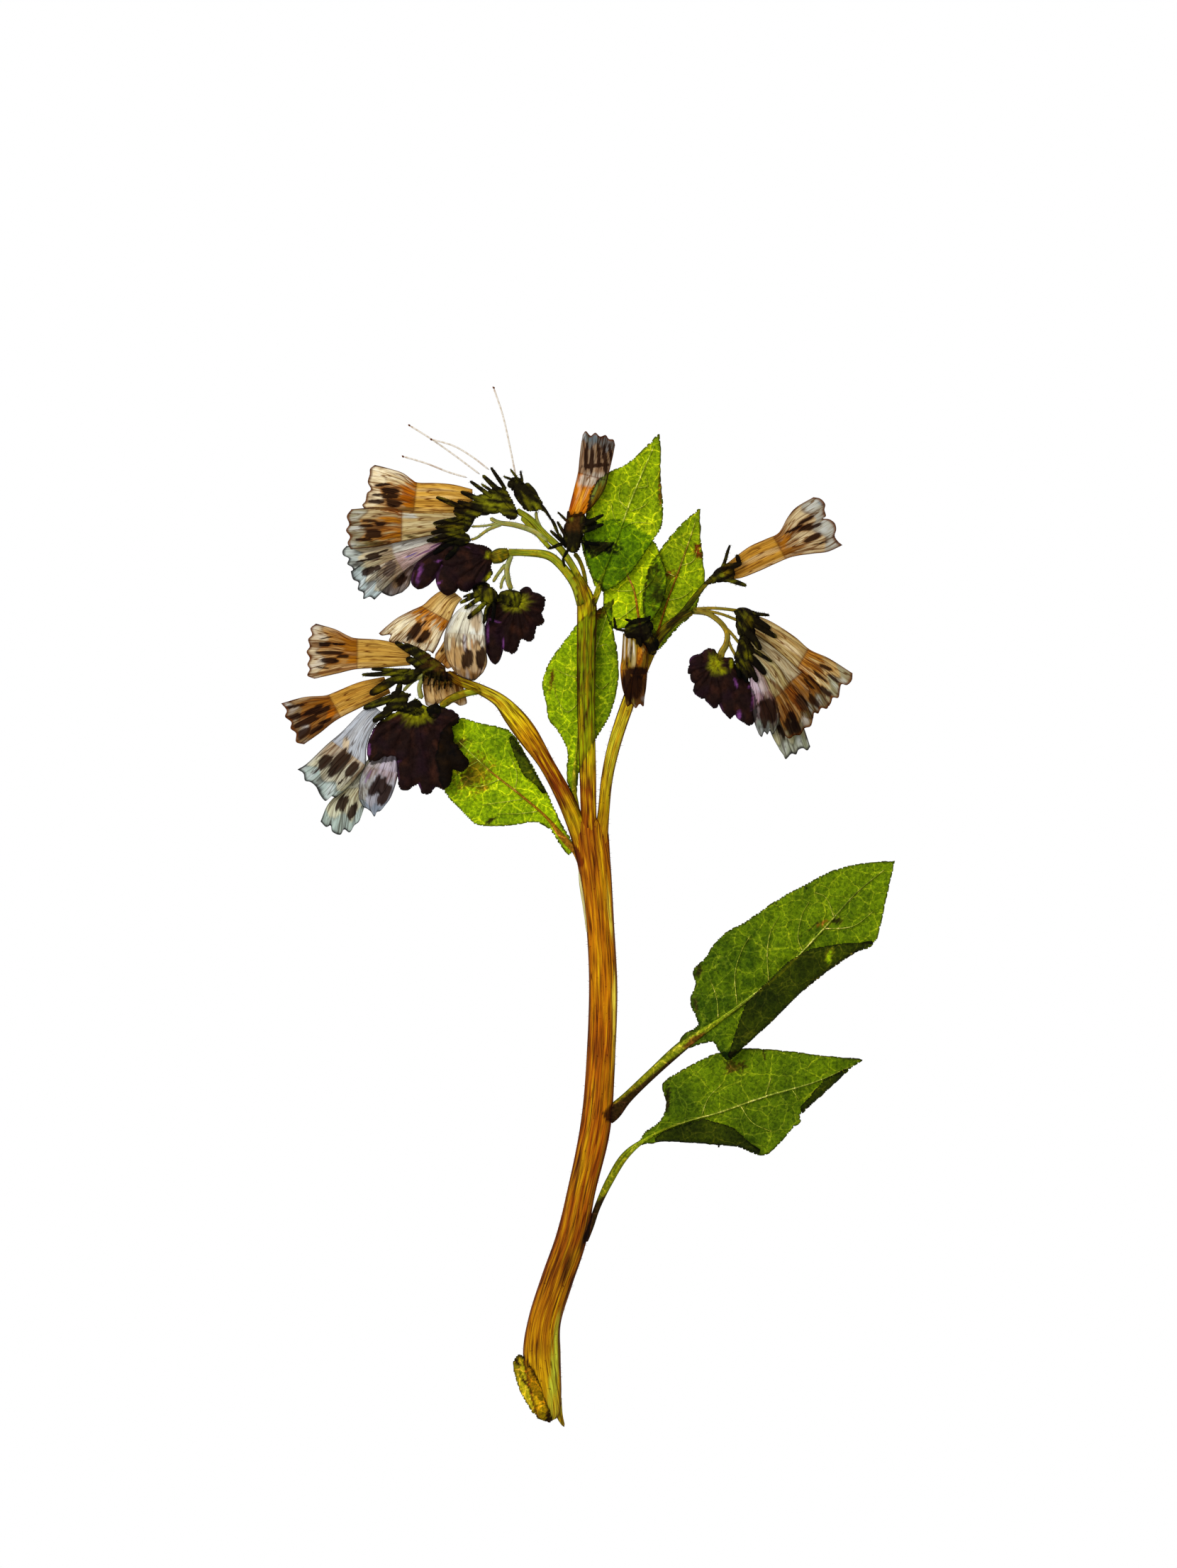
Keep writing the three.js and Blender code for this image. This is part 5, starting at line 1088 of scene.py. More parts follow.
def fork_tone(number):
    """The colour at the root of a thin flower stalk"""
    if number in PALE_FORKS:
        return ink(176, 182, 112)
    if number in DARK_FORKS:
        return ink(92, 92, 14)
    if number in BROWN_FORKS:
        return ink(152, 132, 56)
    return ink(170, 182, 40)


# The stem: stalk, branches, forks and the torn cut end
stem = start("dried_stalk_and_branches", "stem", "stem", "stalk")
main_bark = barked(MAIN_TONES, 3, marks=MAIN_MARKS)
stem.strand(MAIN_STALK, main_bark, sides=64, step=0.4, ribs=9, rib=0.03, cap=1.2)
stem.strand(LEFT_BRANCH, barked(LEFT_TONES, 9), sides=40, step=0.3, ribs=6, rib=0.03)
stem.strand(CENTRAL_BRANCH, barked(CENTRAL_TONES, 14, rough=1.5), sides=44, step=0.3, ribs=6, rib=0.03)
stem.strand(RIGHT_BRANCH, barked(RIGHT_TONES, 21), sides=30, step=0.3, ribs=5, rib=0.03)
stem.strand(CUT_END_SPLINTER, barked(SPLINTER_TONES, 25), sides=10, cap=0.3)
stem.strand(PALE_WING, wing_paint, sides=10)
flower_stalks = start("dried_flower_stalks", "stem", "stem", "green_stalk")
for number, fork in enumerate(FORKS):
    tone = fork_tone(number)
    tones = [(0, tone), (1, mix(tone, ink(90, 96, 30), 0.6))]
    flower_stalks.strand(
        [[x, y, FORK_LEVEL, width, width] for x, y, width in fork],
        barked(tones, 30 + number, edge=ink(60, 66, 20), rough=0.6), sides=16, step=0.25, cap=0.25,
    )
for line, count in ((MAIN_STALK, 330), (LEFT_BRANCH, 90), (CENTRAL_BRANCH, 90), (RIGHT_BRANCH, 90)):
    stem.bristles(line, count, 0.5, PALE_HAIR)
for fork in FORKS:
    level_fork = [[x, y, FORK_LEVEL, width] for x, y, width in fork]
    flower_stalks.bristles(level_fork, 14, 0.32, ink(150, 150, 110))


def nearest(spots, line):
    """For each spot, how far it lies from a line of points, and the nearest point on that line"""
    best = np.full(len(spots), np.inf)
    touch = np.zeros_like(spots)
    for a, b in zip(line[:-1], line[1:]):
        edge = b - a
        share = np.clip(((spots - a) @ edge) / max(1e-9, edge @ edge), 0, 1)
        near = a + share[:, None] * edge
        far = np.linalg.norm(spots - near, axis=1)
        closer = far < best
        best[closer], touch[closer] = far[closer], near[closer]
    return best, touch


def within(spots, ring):
    """Which spots lie inside a closed ring of points"""
    inside = np.zeros(len(spots), bool)
    x, y = spots[:, 0], spots[:, 1]
    for a, b in zip(ring, np.roll(ring, -1, axis=0)):
        crosses = (a[1] > y) != (b[1] > y)
        inside ^= crosses & (x < (b[0] - a[0]) * (y - a[1]) / (b[1] - a[1] + 1e-12) + a[0])
    return inside


def rim_of(outline, smooth, teeth):
    """The ring of points round a sheet: smooth or straight between corners, with small uneven teeth"""
    if smooth:
        ring = flow([*outline, outline[0]], RING_STEP)[0][:-1]
    else:
        corners = np.array(outline, float)
        ring = np.vstack([
            a + (b - a) * t
            for a, b in zip(corners, np.roll(corners, -1, axis=0))
            for t in np.arange(0, 1, RING_STEP / max(RING_STEP, np.linalg.norm(b - a)))
        ])
    ahead = np.roll(ring, -1, axis=0) - np.roll(ring, 1, axis=0)
    out = np.stack([ahead[:, 1], -ahead[:, 0]], axis=1) / (np.linalg.norm(ahead, axis=1)[:, None] + 1e-9)
    bite = [noise.noise((x * 2.6, y * 2.6, 4)) + 0.6 * noise.noise((x * 0.9, y * 0.9, 8)) for x, y in ring]
    return ring - out * np.array(bite)[:, None] * teeth


def blade(piece, outline, height, paint, teeth=0.09, smooth=True, thick=SKIN, step=LEAF_STEP):
    """A sheet of tissue inside an outline; height and paint read its points and how far in they lie"""
    ring = rim_of(outline, smooth, teeth)
    low, high = ring.min(axis=0) - step, ring.max(axis=0) + step
    size = high - low
    made = bmesh.ops.create_grid(
        piece.bm, x_segments=round(size[0] / step), y_segments=round(size[1] / step), size=0.5,
    )["verts"]
    spots = np.array([(v.co.x + 0.5, v.co.y + 0.5) for v in made]) * size + low
    far, touch = nearest(spots, np.vstack([ring, ring[:1]]))
    snap = far < 0.5 * step
    keep = within(spots, ring) | snap
    spots[snap] = touch[snap]
    far = np.where(snap, 0, far)
    levels = height(spots, far)
    colours = paint(spots, far)
    kept = []
    for vert, (x, y), z, colour, stays in zip(made, spots, levels, colours, keep):
        if stays:
            vert.co = (x, y, z)
            vert[piece.tint] = (*colour, 1)
            kept.append(vert)
    bmesh.ops.delete(piece.bm, geom=[v for v, stays in zip(made, keep) if not stays], context="VERTS")
    faces = faces_of(kept)
    for vert in kept:
        if not vert.link_faces:
            piece.bm.verts.remove(vert)
    for face in faces:
        face.normal_update()
        if face.normal.z < 0:
            face.normal_flip()
    skin = bmesh.ops.solidify(piece.bm, geom=faces, thickness=thick)["geom"]
    for face in [*faces, *(item for item in skin if isinstance(item, bmesh.types.BMFace))]:
        for loop in face.loops:
            loop[piece.fibre].uv = loop.vert.co.xy


def rumple(spots, size, amount, seed):
    """A soft uneven relief"""
    return np.array([amount * noise.noise((x / size, y / size, seed)) for x, y in spots])


def leaf_paint(light, dark, lean, marks, seed, middle):
    """A cloudy ground that pales towards one side, with a thin dark margin and the leaf's own stains, and on
    two pieces a painted light spot under a tear
    """
    def paint(spots, far):
        colours = []
        for (x, y), edge in zip(spots, far):
            cloud = noise.noise((x * 0.22, y * 0.22, seed)) + 0.7 * noise.noise((x * 0.8, y * 0.8, seed))
            mottle = noise.noise((x * 2.7, y * 2.7, seed))
            colour = mix(dark, light, 0.5 + 0.7 * cloud + 0.35 * mottle + lean * (x - middle))
            broken = fraying(x, y) + 0.9 * noise.noise((x * 3.3, y * 3.3, seed))
            for where, stained in marks:
                colour = mix(colour, stained, stain(x, y, where, broken, 0.5))
            margin = 0.24 + 0.16 * noise.noise((x * 1.3, y * 1.3, seed + 3))
            rim = mix(colour, BROWN_EDGE, 0.92)
            colours.append(mix(rim, colour, rise(0, max(0.12, margin), edge)))
        return colours
    return paint


# Each leaf: its light and dark green, how it pales towards +x, and its stains, with a painted light spot
# under the tear in one flap
LEAF_LOOKS = {
    "leaf_central": (ink(152, 182, 3), ink(104, 130, 2), -0.1, [
        ([[3.2, 38.2, 1.3, 0.4, 76]], NEAR_BLACK),
        ([[1.4, 37.4, 1.4, 0.5, 60], [-4.5, 28.9, 1.5, 0.25, 78]], RUSTY),
        ([[2.3, 37.6, 1.8, 0.35, 62], [-1.2, 28, 0.12, 2.5, 8]], ink(90, 86, 4)),
    ]),
    "leaf_mid_left": (ink(168, 198, 3), ink(116, 146, 2), 0.02, [
        ([[-14.4, 16.8, 2.6, 2, 50], [-13.2, 15.2, 0.9, 0.5, 10]], ink(124, 114, 4)),
        ([[-15.4, 16.2, 1.2, 1, 20], [-16.4, 20.6, 1.4, 0.8, 20]], ink(84, 78, 6)),
        (
            [[-12.3, 11, 0.8, 0.3, 45], [-17.4, 19.4, 0.7, 0.3, 20], [-8.7, 19.6, 1.1, 0.22, -50]],
            ink(50, 44, 6),
        ),
    ]),
    "leaf_upper_right": (ink(148, 172, 3), ink(106, 128, 2), 0, [
        ([[14.1, 45.2, 0.5, 1.2, 10], [10.4, 42.4, 1, 0.45, 0]], ink(110, 60, 8)),
        ([[8.5, 41, 1.3, 3.8, 8]], ink(80, 88, 3)),
        ([[9, 39.4, 0.8, 1.5, 10], [8.6, 43, 0.6, 0.6, 0]], ink(58, 56, 4)),
    ]),
    "leaf_upper_low": (ink(176, 200, 4), ink(138, 166, 3), 0, [
        ([[1.7, 45.6, 2.2, 0.9, 0]], NEAR_BLACK),
    ]),
    "leaf_upper_top": (ink(162, 188, 3), ink(116, 140, 2), -0.02, [
        ([[1.7, 45.5, 2.3, 0.75, -4]], NEAR_BLACK),
        ([[9.2, 53, 0.2, 2.6, 0]], RUSTY),
        ([[0.9, 54.3, 1.6, 0.7, 40], [0.2, 51, 0.35, 2, 0]], ink(66, 68, 4)),
    ]),
    "leaf_lower_big": (ink(108, 134, 2), ink(60, 84, 2), 0.035, [
        ([[29.9, -2, 0.9, 0.35, 20]], ink(128, 96, 20)),
        ([[31.6, -1.7, 0.8, 0.4, 0]], ink(50, 50, 6)),
        # Painted light: a bright spot on the blade under the flap's tear, which also lightens the flap
        # through the painted shade from below
        ([[30.6, -6.3, 0.6, 1.1, -10]], ink(240, 250, 120)),
        ([[28.4, -2.6, 1.6, 0.1, 40], [14.2, -8, 0.5, 1, 0], [13.8, -12.4, 0.3, 1, 10]], ink(50, 50, 6)),
        ([[27.7, 2.6, 0.6, 0.08, -60], [24, 0.4, 0.8, 0.08, -60], [21.5, -1.3, 0.7, 0.08, -60]], NEAR_BLACK),
    ]),
    "leaf_lower_small": (ink(106, 132, 3), ink(66, 88, 2), 0, [
        ([[10.2, -24.6, 0.4, 2.1, 0]], ink(40, 38, 6)),
        ([[18.7, -20.4, 1.3, 0.9, 0]], ink(72, 66, 6)),
        ([[22.5, -19, 0.12, 1.1, 8], [19.6, -20.4, 0.8, 0.1, 30]], ink(54, 44, 8)),
    ]),
}
RUSTY_RIBS = {
    "leaf_upper_right": ink(124, 70, 16),
    "leaf_upper_low": ink(166, 96, 26),
    "leaf_mid_left": ink(150, 96, 22),
}
# How the brown of a leaf stalk's root sets in: how far it leans to the underside, how fast, and from where
BROWN_ROOTS = {"leaf_lower_big": (1, 5, 0.84), "leaf_lower_small": (0.3, 14, 0.86)}
ROOT_STAIN = [[13.4, -16.9, 1.5, 0.35, 36]]
# Painted light: where light shows through a tear in the big leaf's flap, painted on the flap and on the blade
# under it, since the flap has no hole
LIGHT_THROUGH_TEAR = [[30.65, -6.3, 0.3, 0.85, -12]]


def rib_paint(node, base, seed):
    """Paint for a midrib: pale and green, rusty in some leaves, and brown at the roots of two leaf stalks"""
    tones = [(0, mix(LEAF_VEIN, base, 0.4)), (0.4, LEAF_VEIN), (0.6, ink(150, 176, 28)), (1, OLIVE)]
    rust, root = RUSTY_RIBS.get(node), BROWN_ROOTS.get(node)

    def paint(across, v, x, y):
        colour = tone_at(tones, v)
        colour = mix(colour, OLIVE, 1.2 * abs(noise.noise((across * 5, v * 12, seed))))
        colour = mix(colour, base, 0.8 * rise(0.75, 1, abs(across)))
        if rust:
            colour = mix(colour, rust, 0.9 * rise(0.1, 0.4, v + 0.3 * noise.noise((v * 7, across, seed))))
        if root:
            slant, pace, begins = root
            colour = mix(colour, ink(56, 66, 8), 1.8 * max(0, noise.noise((across * 7, v * 5, seed + 2))))
            colour = mix(colour, ink(46, 48, 8), 0.8 * rise(0.72, 0.95, abs(across)) * rise(0.6, 0.7, v))
            reach = slant * across + pace * (v - begins) + 0.4 * noise.noise((v * 9, seed, 0))
            colour = mix(colour, UMBER, 0.95 * rise(-0.2, 0.2, reach))
            colour = mix(colour, ink(96, 60, 16), 0.9 * stain(x, y, ROOT_STAIN))
        return colour
    return paint


def fold_flap(node, number, edge, inner, z, seed):
    """A flap of a leaf folded over its own blade, brown on the side that shows"""
    flap = start(f"dried_{node}_flap_{number}", node, "leaf", "leaf")
    fold = flow(edge)[0]

    def height(spots, far):
        bend = np.clip(1 - nearest(spots, fold)[0] / 0.7, 0, 1) ** 2
        return z + BLADE + FOLD - 0.1 - 0.55 * bend + rumple(spots, 1.3, 0.08, seed + 7)

    # Painted light: a brighter green on the flap where light shows through its tear
    torn = [(LIGHT_THROUGH_TEAR, ink(156, 182, 10))]
    paint = leaf_paint(ink(122, 122, 30), ink(96, 96, 24), 0, torn, seed + 1, 0)
    blade(flap, [*edge, *reversed(inner)], height, paint, smooth=False, teeth=0.06)


def press_leaf(node, plan):
    """One leaf: its blade, its side veins, its midrib and the flaps folded over it"""
    light, dark, lean, marks = LEAF_LOOKS[node]
    z, seed = plan["z"], len(node) + plan["outline"][0][0]
    middle = sum(x for x, y in plan["outline"]) / len(plan["outline"])
    piece = start("dried_" + node, node, "leaf", "leaf")
    rib = flow([[x, y] for x, y, *_ in plan["midrib"]])[0]
    side_veins = [flow(vein)[0] for vein in plan["veins"]]

    def height(spots, far):
        beside = np.min([nearest(spots, line)[0] for line in [*side_veins, rib]], axis=0)
        groove = -0.1 * np.exp(-(((beside - 0.5) / 0.3) ** 2))
        return z + BLADE - 0.12 + groove + rumple(spots, 1.3, 0.09, seed) + rumple(spots, 4.5, 0.08, seed + 2)

    blade(piece, plan["outline"], height, leaf_paint(light, dark, lean, marks, seed, middle))
    top = z + BLADE - 0.08
    vein_tones = [(0, LEAF_VEIN), (1, mix(LEAF_VEIN, light, 0.7))]
    for vein in plan["veins"]:
        count = len(vein) - 1
        line = [
            [x, y, top, 0.065 - 0.035 * n / count, 0.13 - 0.05 * n / count]
            for n, (x, y) in enumerate(vein)
        ]
        piece.strand(line, barked(vein_tones, seed, edge=light, rough=0.4), sides=8, step=0.3, cap=0.1)
    low = z + BLADE - 0.2
    midrib = []
    for x, y, width, *lift in [*plan["midrib"], *RIB_ROOTS.get(node, [])]:
        level, half = (low + lift[0], width) if lift else (low, 0.6 * width)
        midrib.append([x, y, level, half, min(0.33, width + 0.08)])
    piece.strand(midrib, rib_paint(node, light, seed), sides=18, step=0.3, cap=0.4)
    for number, (edge, inner) in enumerate(plan["flaps"], 1):
        fold_flap(node, number, edge, inner, z, seed)


for node, plan in LEAVES.items():
    press_leaf(node, plan)

# The thin scale that clasps the cut end
SCALE_MARKS = [
    ([[-4.9, -64.4, 1.1, 0.5, 70], [-9, -57.6, 0.4, 1, 20], [-8.5, -57.1, 0.9, 0.2, 0]], ink(44, 32, 6)),
    ([[-7.4, -61, 2.6, 0.12, -50], [-6.6, -59.6, 2.4, 0.1, -56], [-8, -60, 2.2, 0.09, -58]], ink(80, 56, 6)),
    ([[-6.4, -62.6, 1.4, 0.4, -50]], ink(240, 220, 60)),
]


def scale_height(spots, far):
    """Low at its left margin, and rising over the stalk"""
    return 0.5 + np.clip((spots[:, 0] + 9.45) * 0.62, 0, 1.55) + rumple(spots, 0.8, 0.08, 5)


scale = start("dried_cut_end_scale", "stem", "stem", "leaf")
scale_paint = leaf_paint(ink(186, 170, 24), ink(128, 108, 10), 0, SCALE_MARKS, 5, 0)
blade(scale, CUT_END_SCALE, scale_height, scale_paint, teeth=0.12)

# The outline, the pale streaks and the dusky streaks of young corollas and of open ones
YOUNG_TONES = (ink(50, 48, 46), ink(236, 236, 230), ink(172, 166, 156))
OPEN_TONES = (RUSSET, ink(250, 232, 184), HONEY_BROWN)


def ridge(distance, width):
    """1 on a line and next to nothing beyond its width"""
    return math.exp(-((distance / width) ** 2))


def petal_paint(node, long, wide, seed):
    """Paint for a corolla: tube, band and bell, with stains, veins, creases and a crumpled mouth whose folded
    teeth carry a painted highlight
    """
    tube, band, bell, lip, spots = BLOOM_LOOKS[node]
    marks = BLOOM_MARKS.get(node, [])
    waist = WAISTS.get(node, 0.55)
    young = node in YOUNG
    outline, pale, dusk = YOUNG_TONES if young else OPEN_TONES
    crease, girdle = (0.3, 0.2) if young else (0.5, 0.7)

    def paint(across, v, x, y):
        ragged = noise.noise((across * 1.3 * wide, v * long * 0.4, seed))
        streak = noise.noise((across * 3.4, v * 1.3, seed + 4))
        comb = 0.45 * noise.noise((across * wide * 1.7, v * long * 0.22, seed + 9)) + 0.3 * ragged
        torn = v + 0.2 * ragged
        colour = mix(tube, band, rise(waist - 0.005, waist + 0.01, v))
        in_band = rise(waist, waist + 0.01, v) * (1 - rise(waist + 0.18, waist + 0.3, torn))
        colour = mix(colour, bell, rise(waist + 0.1, waist + 0.18, torn))
        colour = mix(colour, pale, 0.6 * max(0, streak) * rise(0.05, 0.3, v))
        colour = mix(colour, dusk, 0.85 * max(0, -streak))
        for where, stained in marks:
            colour = mix(colour, stained, 0.85 * stain(x, y, where, comb, 0.6))
        vein = abs(((across * 5.2 + 0.5 * noise.noise((across * 2, v * 4, seed))) % 1) - 0.5)
        colour = mix(colour, RUSSET, 0.6 * in_band * (1 - rise(0.03, 0.3, vein)) + in_band * max(0, comb))
        if not young:
            colour = mix(colour, mix(RUSSET, band, 0.6), 0.75 * stain(x, y, spots, comb - 0.5, 0.5))
        fold = 0.88 + 0.035 * math.sin(across * 7 + seed)
        colour = mix(colour, lip, 0.7 * rise(fold - 0.02, fold + 0.01, v))
        tooth = noise.noise((across * 4, v * 6, seed + 2))
        # Painted highlight: pale glints on the folded teeth of the mouth
        colour = mix(colour, ink(226, 230, 230), 0.75 * max(0, tooth) * rise(fold, fold + 0.04, v))
        colour = mix(colour, outline, 1.4 * max(0, -tooth) * rise(fold, 1, v))
        colour = mix(colour, outline, 0.5 * ridge(v - fold, 0.012) * rise(-0.2, 0.3, tooth + streak))
        line = abs(((across * 2.9 + 0.25 * math.sin(v * 5 + seed)) % 1) - 0.5)
        colour = mix(colour, RUSSET, crease * (1 - rise(0.01, 0.08, line)) * (1 - rise(0.8, 0.92, v)))
        colour = mix(colour, RUSSET, girdle * ridge(v - waist, 0.009))
        colour = mix(colour, UMBER, 0.96 * stain(x, y, spots, comb))
        colour = mix(colour, outline, 0.85 * rise(0.9, 0.99, abs(across)))
        return mix(colour, outline, 0.9 * rise(0.965, 0.99, v))
    return paint


def press_corolla(node, z, left, right, mouth):
    """One pressed tube between its two edges, drawn in at the waist, with a mouth of folded teeth"""
    slot, finish = ("young_corolla", "young_petal") if node in YOUNG else ("corolla", "petal")
    piece = start("dried_" + node, node, slot, finish)
    mouth = flow([left[-1], *mouth, right[-1]], 0.1)
    left, right = flow(left), flow(right)
    first, last = left[0][-1], right[0][-1]
    long = left[1][-1]
    wide = np.linalg.norm(first - last)
    waist = WAISTS.get(node, 0.55)
    seed = z + long
    rows = round(long / 0.15)
    half = max(16, round(wide / 0.11))
    paint = petal_paint(node, long, wide, seed)
    grid = {}

    def place(u, v):
        key = round(v * rows)
        if key not in grid:
            grid[key] = along(left, v), along(right, v)
        a, b = grid[key]
        share = 2 * u if u < 0.5 else 2 - 2 * u
        side = 1 if u < 0.5 else -1
        across = 2 * share - 1
        lips = along(mouth, share) - (first + (last - first) * share)
        x, y = a + (b - a) * share + lips * rise(0.72, 1, v)
        body = math.sqrt(max(0, 1 - across * across)) ** 0.7
        pleat = 1 + 0.16 * math.sin(across * 9 + seed) + 0.2 * noise.noise((across * 2, v * 5, seed))
        neck = 1 - 0.35 * ridge(v - waist, 0.03)
        mouth_end, base_end = 1 - 0.98 * rise(0.8, 1, v), 0.6 + 0.4 * rise(0, 0.1, v)
        thick = min(COROLLA, 0.95 * COROLLA * body * pleat * neck * mouth_end * base_end)
        if v == 0 or v == 1:
            thick = 0
        fibre = ((share + 1.3 * (side < 0)) * wide, v * long)
        return Vector((x, y, z + side * thick)), paint(across, v, x, y), fibre

    piece.wrap(2 * half, rows, place)


for node, bloom in BLOOMS.items():
    press_corolla(node, *bloom)


def dome(top, drop, wrinkles, seed, heart=None):
    """The height of a crowded body: full in the middle, low at its edge, and folded, some round a heart"""
    def height(spots, far):
        crown = 1 - np.clip(1 - far / 1.1, 0, 1) ** 2
        folds = rumple(spots, 0.7, wrinkles, seed)
        if heart:
            turn = np.arctan2(spots[:, 1] - heart[1], spots[:, 0] - heart[0])
            folds = folds + 0.16 * np.cos(turn * 17)
        return top - drop + drop * crown + folds * np.clip(far / 0.4, 0, 1)
    return height


# The calyces: dark cups with blunt bristly lobes
CALYX_DARK = ink(30, 26, 12)
CALYX_GREEN = ink(112, 108, 14)
CUP_GREEN = ink(134, 134, 22)
# Where the calyces are a bright yellow-green, and where they are brown
GREEN_CUPS = [
    [-12.4, 44.6, 1.7, 1, 0], [-16.8, 48.3, 1.4, 0.8, 20], [-12, 51.2, 2.4, 1.4, -35],
    [-6.6, 50.9, 1, 0.7, -60], [-9.2, 39.1, 2, 1.4, 0], [-23.2, 29.2, 1.5, 0.7, 0],
    [-27, 25.9, 1.4, 0.6, 30], [-26.2, 27.8, 1.2, 0.7, 30], [20.3, 32, 0.7, 0.9, 0],
    [20.8, 36.7, 0.5, 0.6, 0], [-13.6, 38.4, 1.6, 0.9, 40], [17.4, 42.3, 1, 0.4, 30],
]
BROWN_CUPS = [[-18.4, 30.4, 3, 1.1, -28], [-2, 48.6, 1.4, 1.2, 0]]
# How much darker some calyces are
DARK_CALYCES = {"calyx_4": 0.35, "calyx_5": 0.45, "calyx_1_spent": 0.15, "calyces_3": 0.1, "calyces_7": 0.2}


def calyx_tint(x, y, turn, share):
    """Colour of a calyx whose cups point along turn: dark, with green streaks that run the same way"""
    run = x * math.cos(turn) + y * math.sin(turn)
    across = y * math.cos(turn) - x * math.sin(turn)
    streaky = noise.noise((run * 0.5, across * 2.2, 2)) + 0.35 * noise.noise((run * 1.2, across * 4.5, 6))
    colour = mix(CALYX_DARK, CALYX_GREEN, 0.14 + 1.3 * streaky - share)
    colour = mix(colour, ink(78, 50, 18), 0.8 * stain(x, y, BROWN_CUPS, 0.6 * streaky, 0.3))
    green = stain(x, y, GREEN_CUPS, 0.6 * streaky, 0.3) * (0.55 + 1.5 * streaky - share)
    return mix(colour, CUP_GREEN, green)


def dry_calyx(node, z, cups):
    """One calyx or a crowd of them: the cups, the wrinkled bodies between them, and the lobes on top"""
    piece = start("dried_" + node, node, "calyx", "bristly")
    turn = math.atan2(sum(cup[3] - cup[1] for cup in cups), sum(cup[2] - cup[0] for cup in cups))
    dark = DARK_CALYCES.get(node, 0)
    top, bodies = CALYX_BODIES[node]

    def lobe_paint(across, v, x, y):
        return mix(calyx_tint(x, y, turn, dark + 0.25 * v), INK_BLACK, 0.8 * rise(0.6, 1, abs(across)))

    def body_paint(spots, far):
        return [
            mix(INK_BLACK, calyx_tint(x, y, turn, dark), rise(0, 0.25, edge))
            for (x, y), edge in zip(spots, far)
        ]

    for x0, y0, x1, y1, width in cups:
        piece.strand([
            [x0, y0, z, width * 0.5, 0.35],
            [(x0 + x1) / 2, (y0 + y1) / 2, z, width, 0.66],
            [x1, y1, z + 0.25, width * 0.9, 0.55],
        ], lobe_paint, sides=20, step=0.2, ribs=7, rib=0.05, cap=0.4)
    for outline in bodies:
        blade(piece, outline, dome(top, 0.35, 0.14, z), body_paint, teeth=0.1, thick=0.7, step=0.16)
    for x0, y0, x1, y1, width in CALYX_LOBES[node]:
        bow = 0.1 * math.sin(x0 * 7)
        lobe = [
            [x0, y0, top - 0.2, width * 0.8, 0.24],
            [x0 + (x1 - x0) * 0.35 - bow, y0 + (y1 - y0) * 0.35 + bow, top, width, 0.2],
            [x0 + (x1 - x0) * 0.75, y0 + (y1 - y0) * 0.75, top + 0.02, width * 0.85, 0.17],
            [x1, y1, top, width * 0.55, 0.13],
        ]
        piece.strand(lobe, lobe_paint, sides=14, step=0.18, ribs=3, rib=0.06, cap=width * 0.7)
        piece.bristles(lobe, 22, 0.24, ink(70, 66, 40))


for node, (z, cups) in CALYX_CUPS.items():
    dry_calyx(node, z, cups)

# The buds: a crowded fan of small dark coils with violet rims, round a green heart
HEART_GREEN = ink(158, 158, 10)


def coil_buds(node, z, core, rows):
    """One bunch: its core, the single buds round it, and the wrinkled body that joins them"""
    piece = start("dried_" + node, node, "bud", "bud")
    hearts, rims = HEARTS[node], RIMS.get(node, [])
    heart_x, heart_y = hearts[0][:2]
    top, outline = BUD_BODIES[node]

    def tint(x, y):
        turn = math.atan2(y - heart_y, x - heart_x)
        ray = noise.noise((turn * 5, math.hypot(x - heart_x, y - heart_y) * 0.5, 7))
        colour = mix(ink(33, 20, 17), ink(62, 36, 24), 0.7 * max(0, noise.noise((x * 0.9, y * 0.9, 9)) + ray))
        colour = mix(colour, ink(38, 20, 34), 0.7 * max(0, noise.noise((x * 0.5, y * 0.5, 3))))
        green = stain(x, y, hearts, 0.5 * ray, 0.25)
        colour = mix(colour, HEART_GREEN, green * (0.8 + 0.9 * ray))
        return mix(colour, VIOLET, 0.8 * stain(x, y, rims, 0.4 * noise.noise((x * 3, y * 3, 7)), 0.3))

    def bud_paint(across, v, x, y):
        patch = max(0, 0.3 + noise.noise((x * 0.8, y * 0.8, 1)))
        rim = rise(0.75, 0.9, abs(across)) * rise(0.15, 0.5, v) * patch
        return mix(mix(tint(x, y), VIOLET, 0.3 * rim), INK_BLACK, 0.8 * rise(0.93, 1, abs(across)))

    def body_paint(spots, far):
        return [mix(INK_BLACK, tint(x, y), rise(0, 0.2, edge)) for (x, y), edge in zip(spots, far)]

    core_line = [[x, y, z, width, 0.7] for x, y, width in core]
    piece.strand(core_line, bud_paint, sides=24, step=0.25, ribs=8, rib=0.05, cap=1)
    for number, bud in enumerate(rows):
        level = z + 0.02 * (number % 3)
        bud_line = [[x, y, level, width, 0.56] for x, y, width in bud]
        piece.strand(bud_line, bud_paint, sides=26, step=0.2, ribs=6, rib=0.06, cap=0.7)
    height = dome(top + 0.1, 0.55, 0.12, z, hearts[0])
    blade(piece, outline, height, body_paint, teeth=0.12, thick=0.8, step=0.15)


for node, bunch in BUDS.items():
    coil_buds(node, *bunch)


# The styles: pale threads with a brown knob
def knob_paint(across, v, x, y):
    return ink(120, 74, 48)


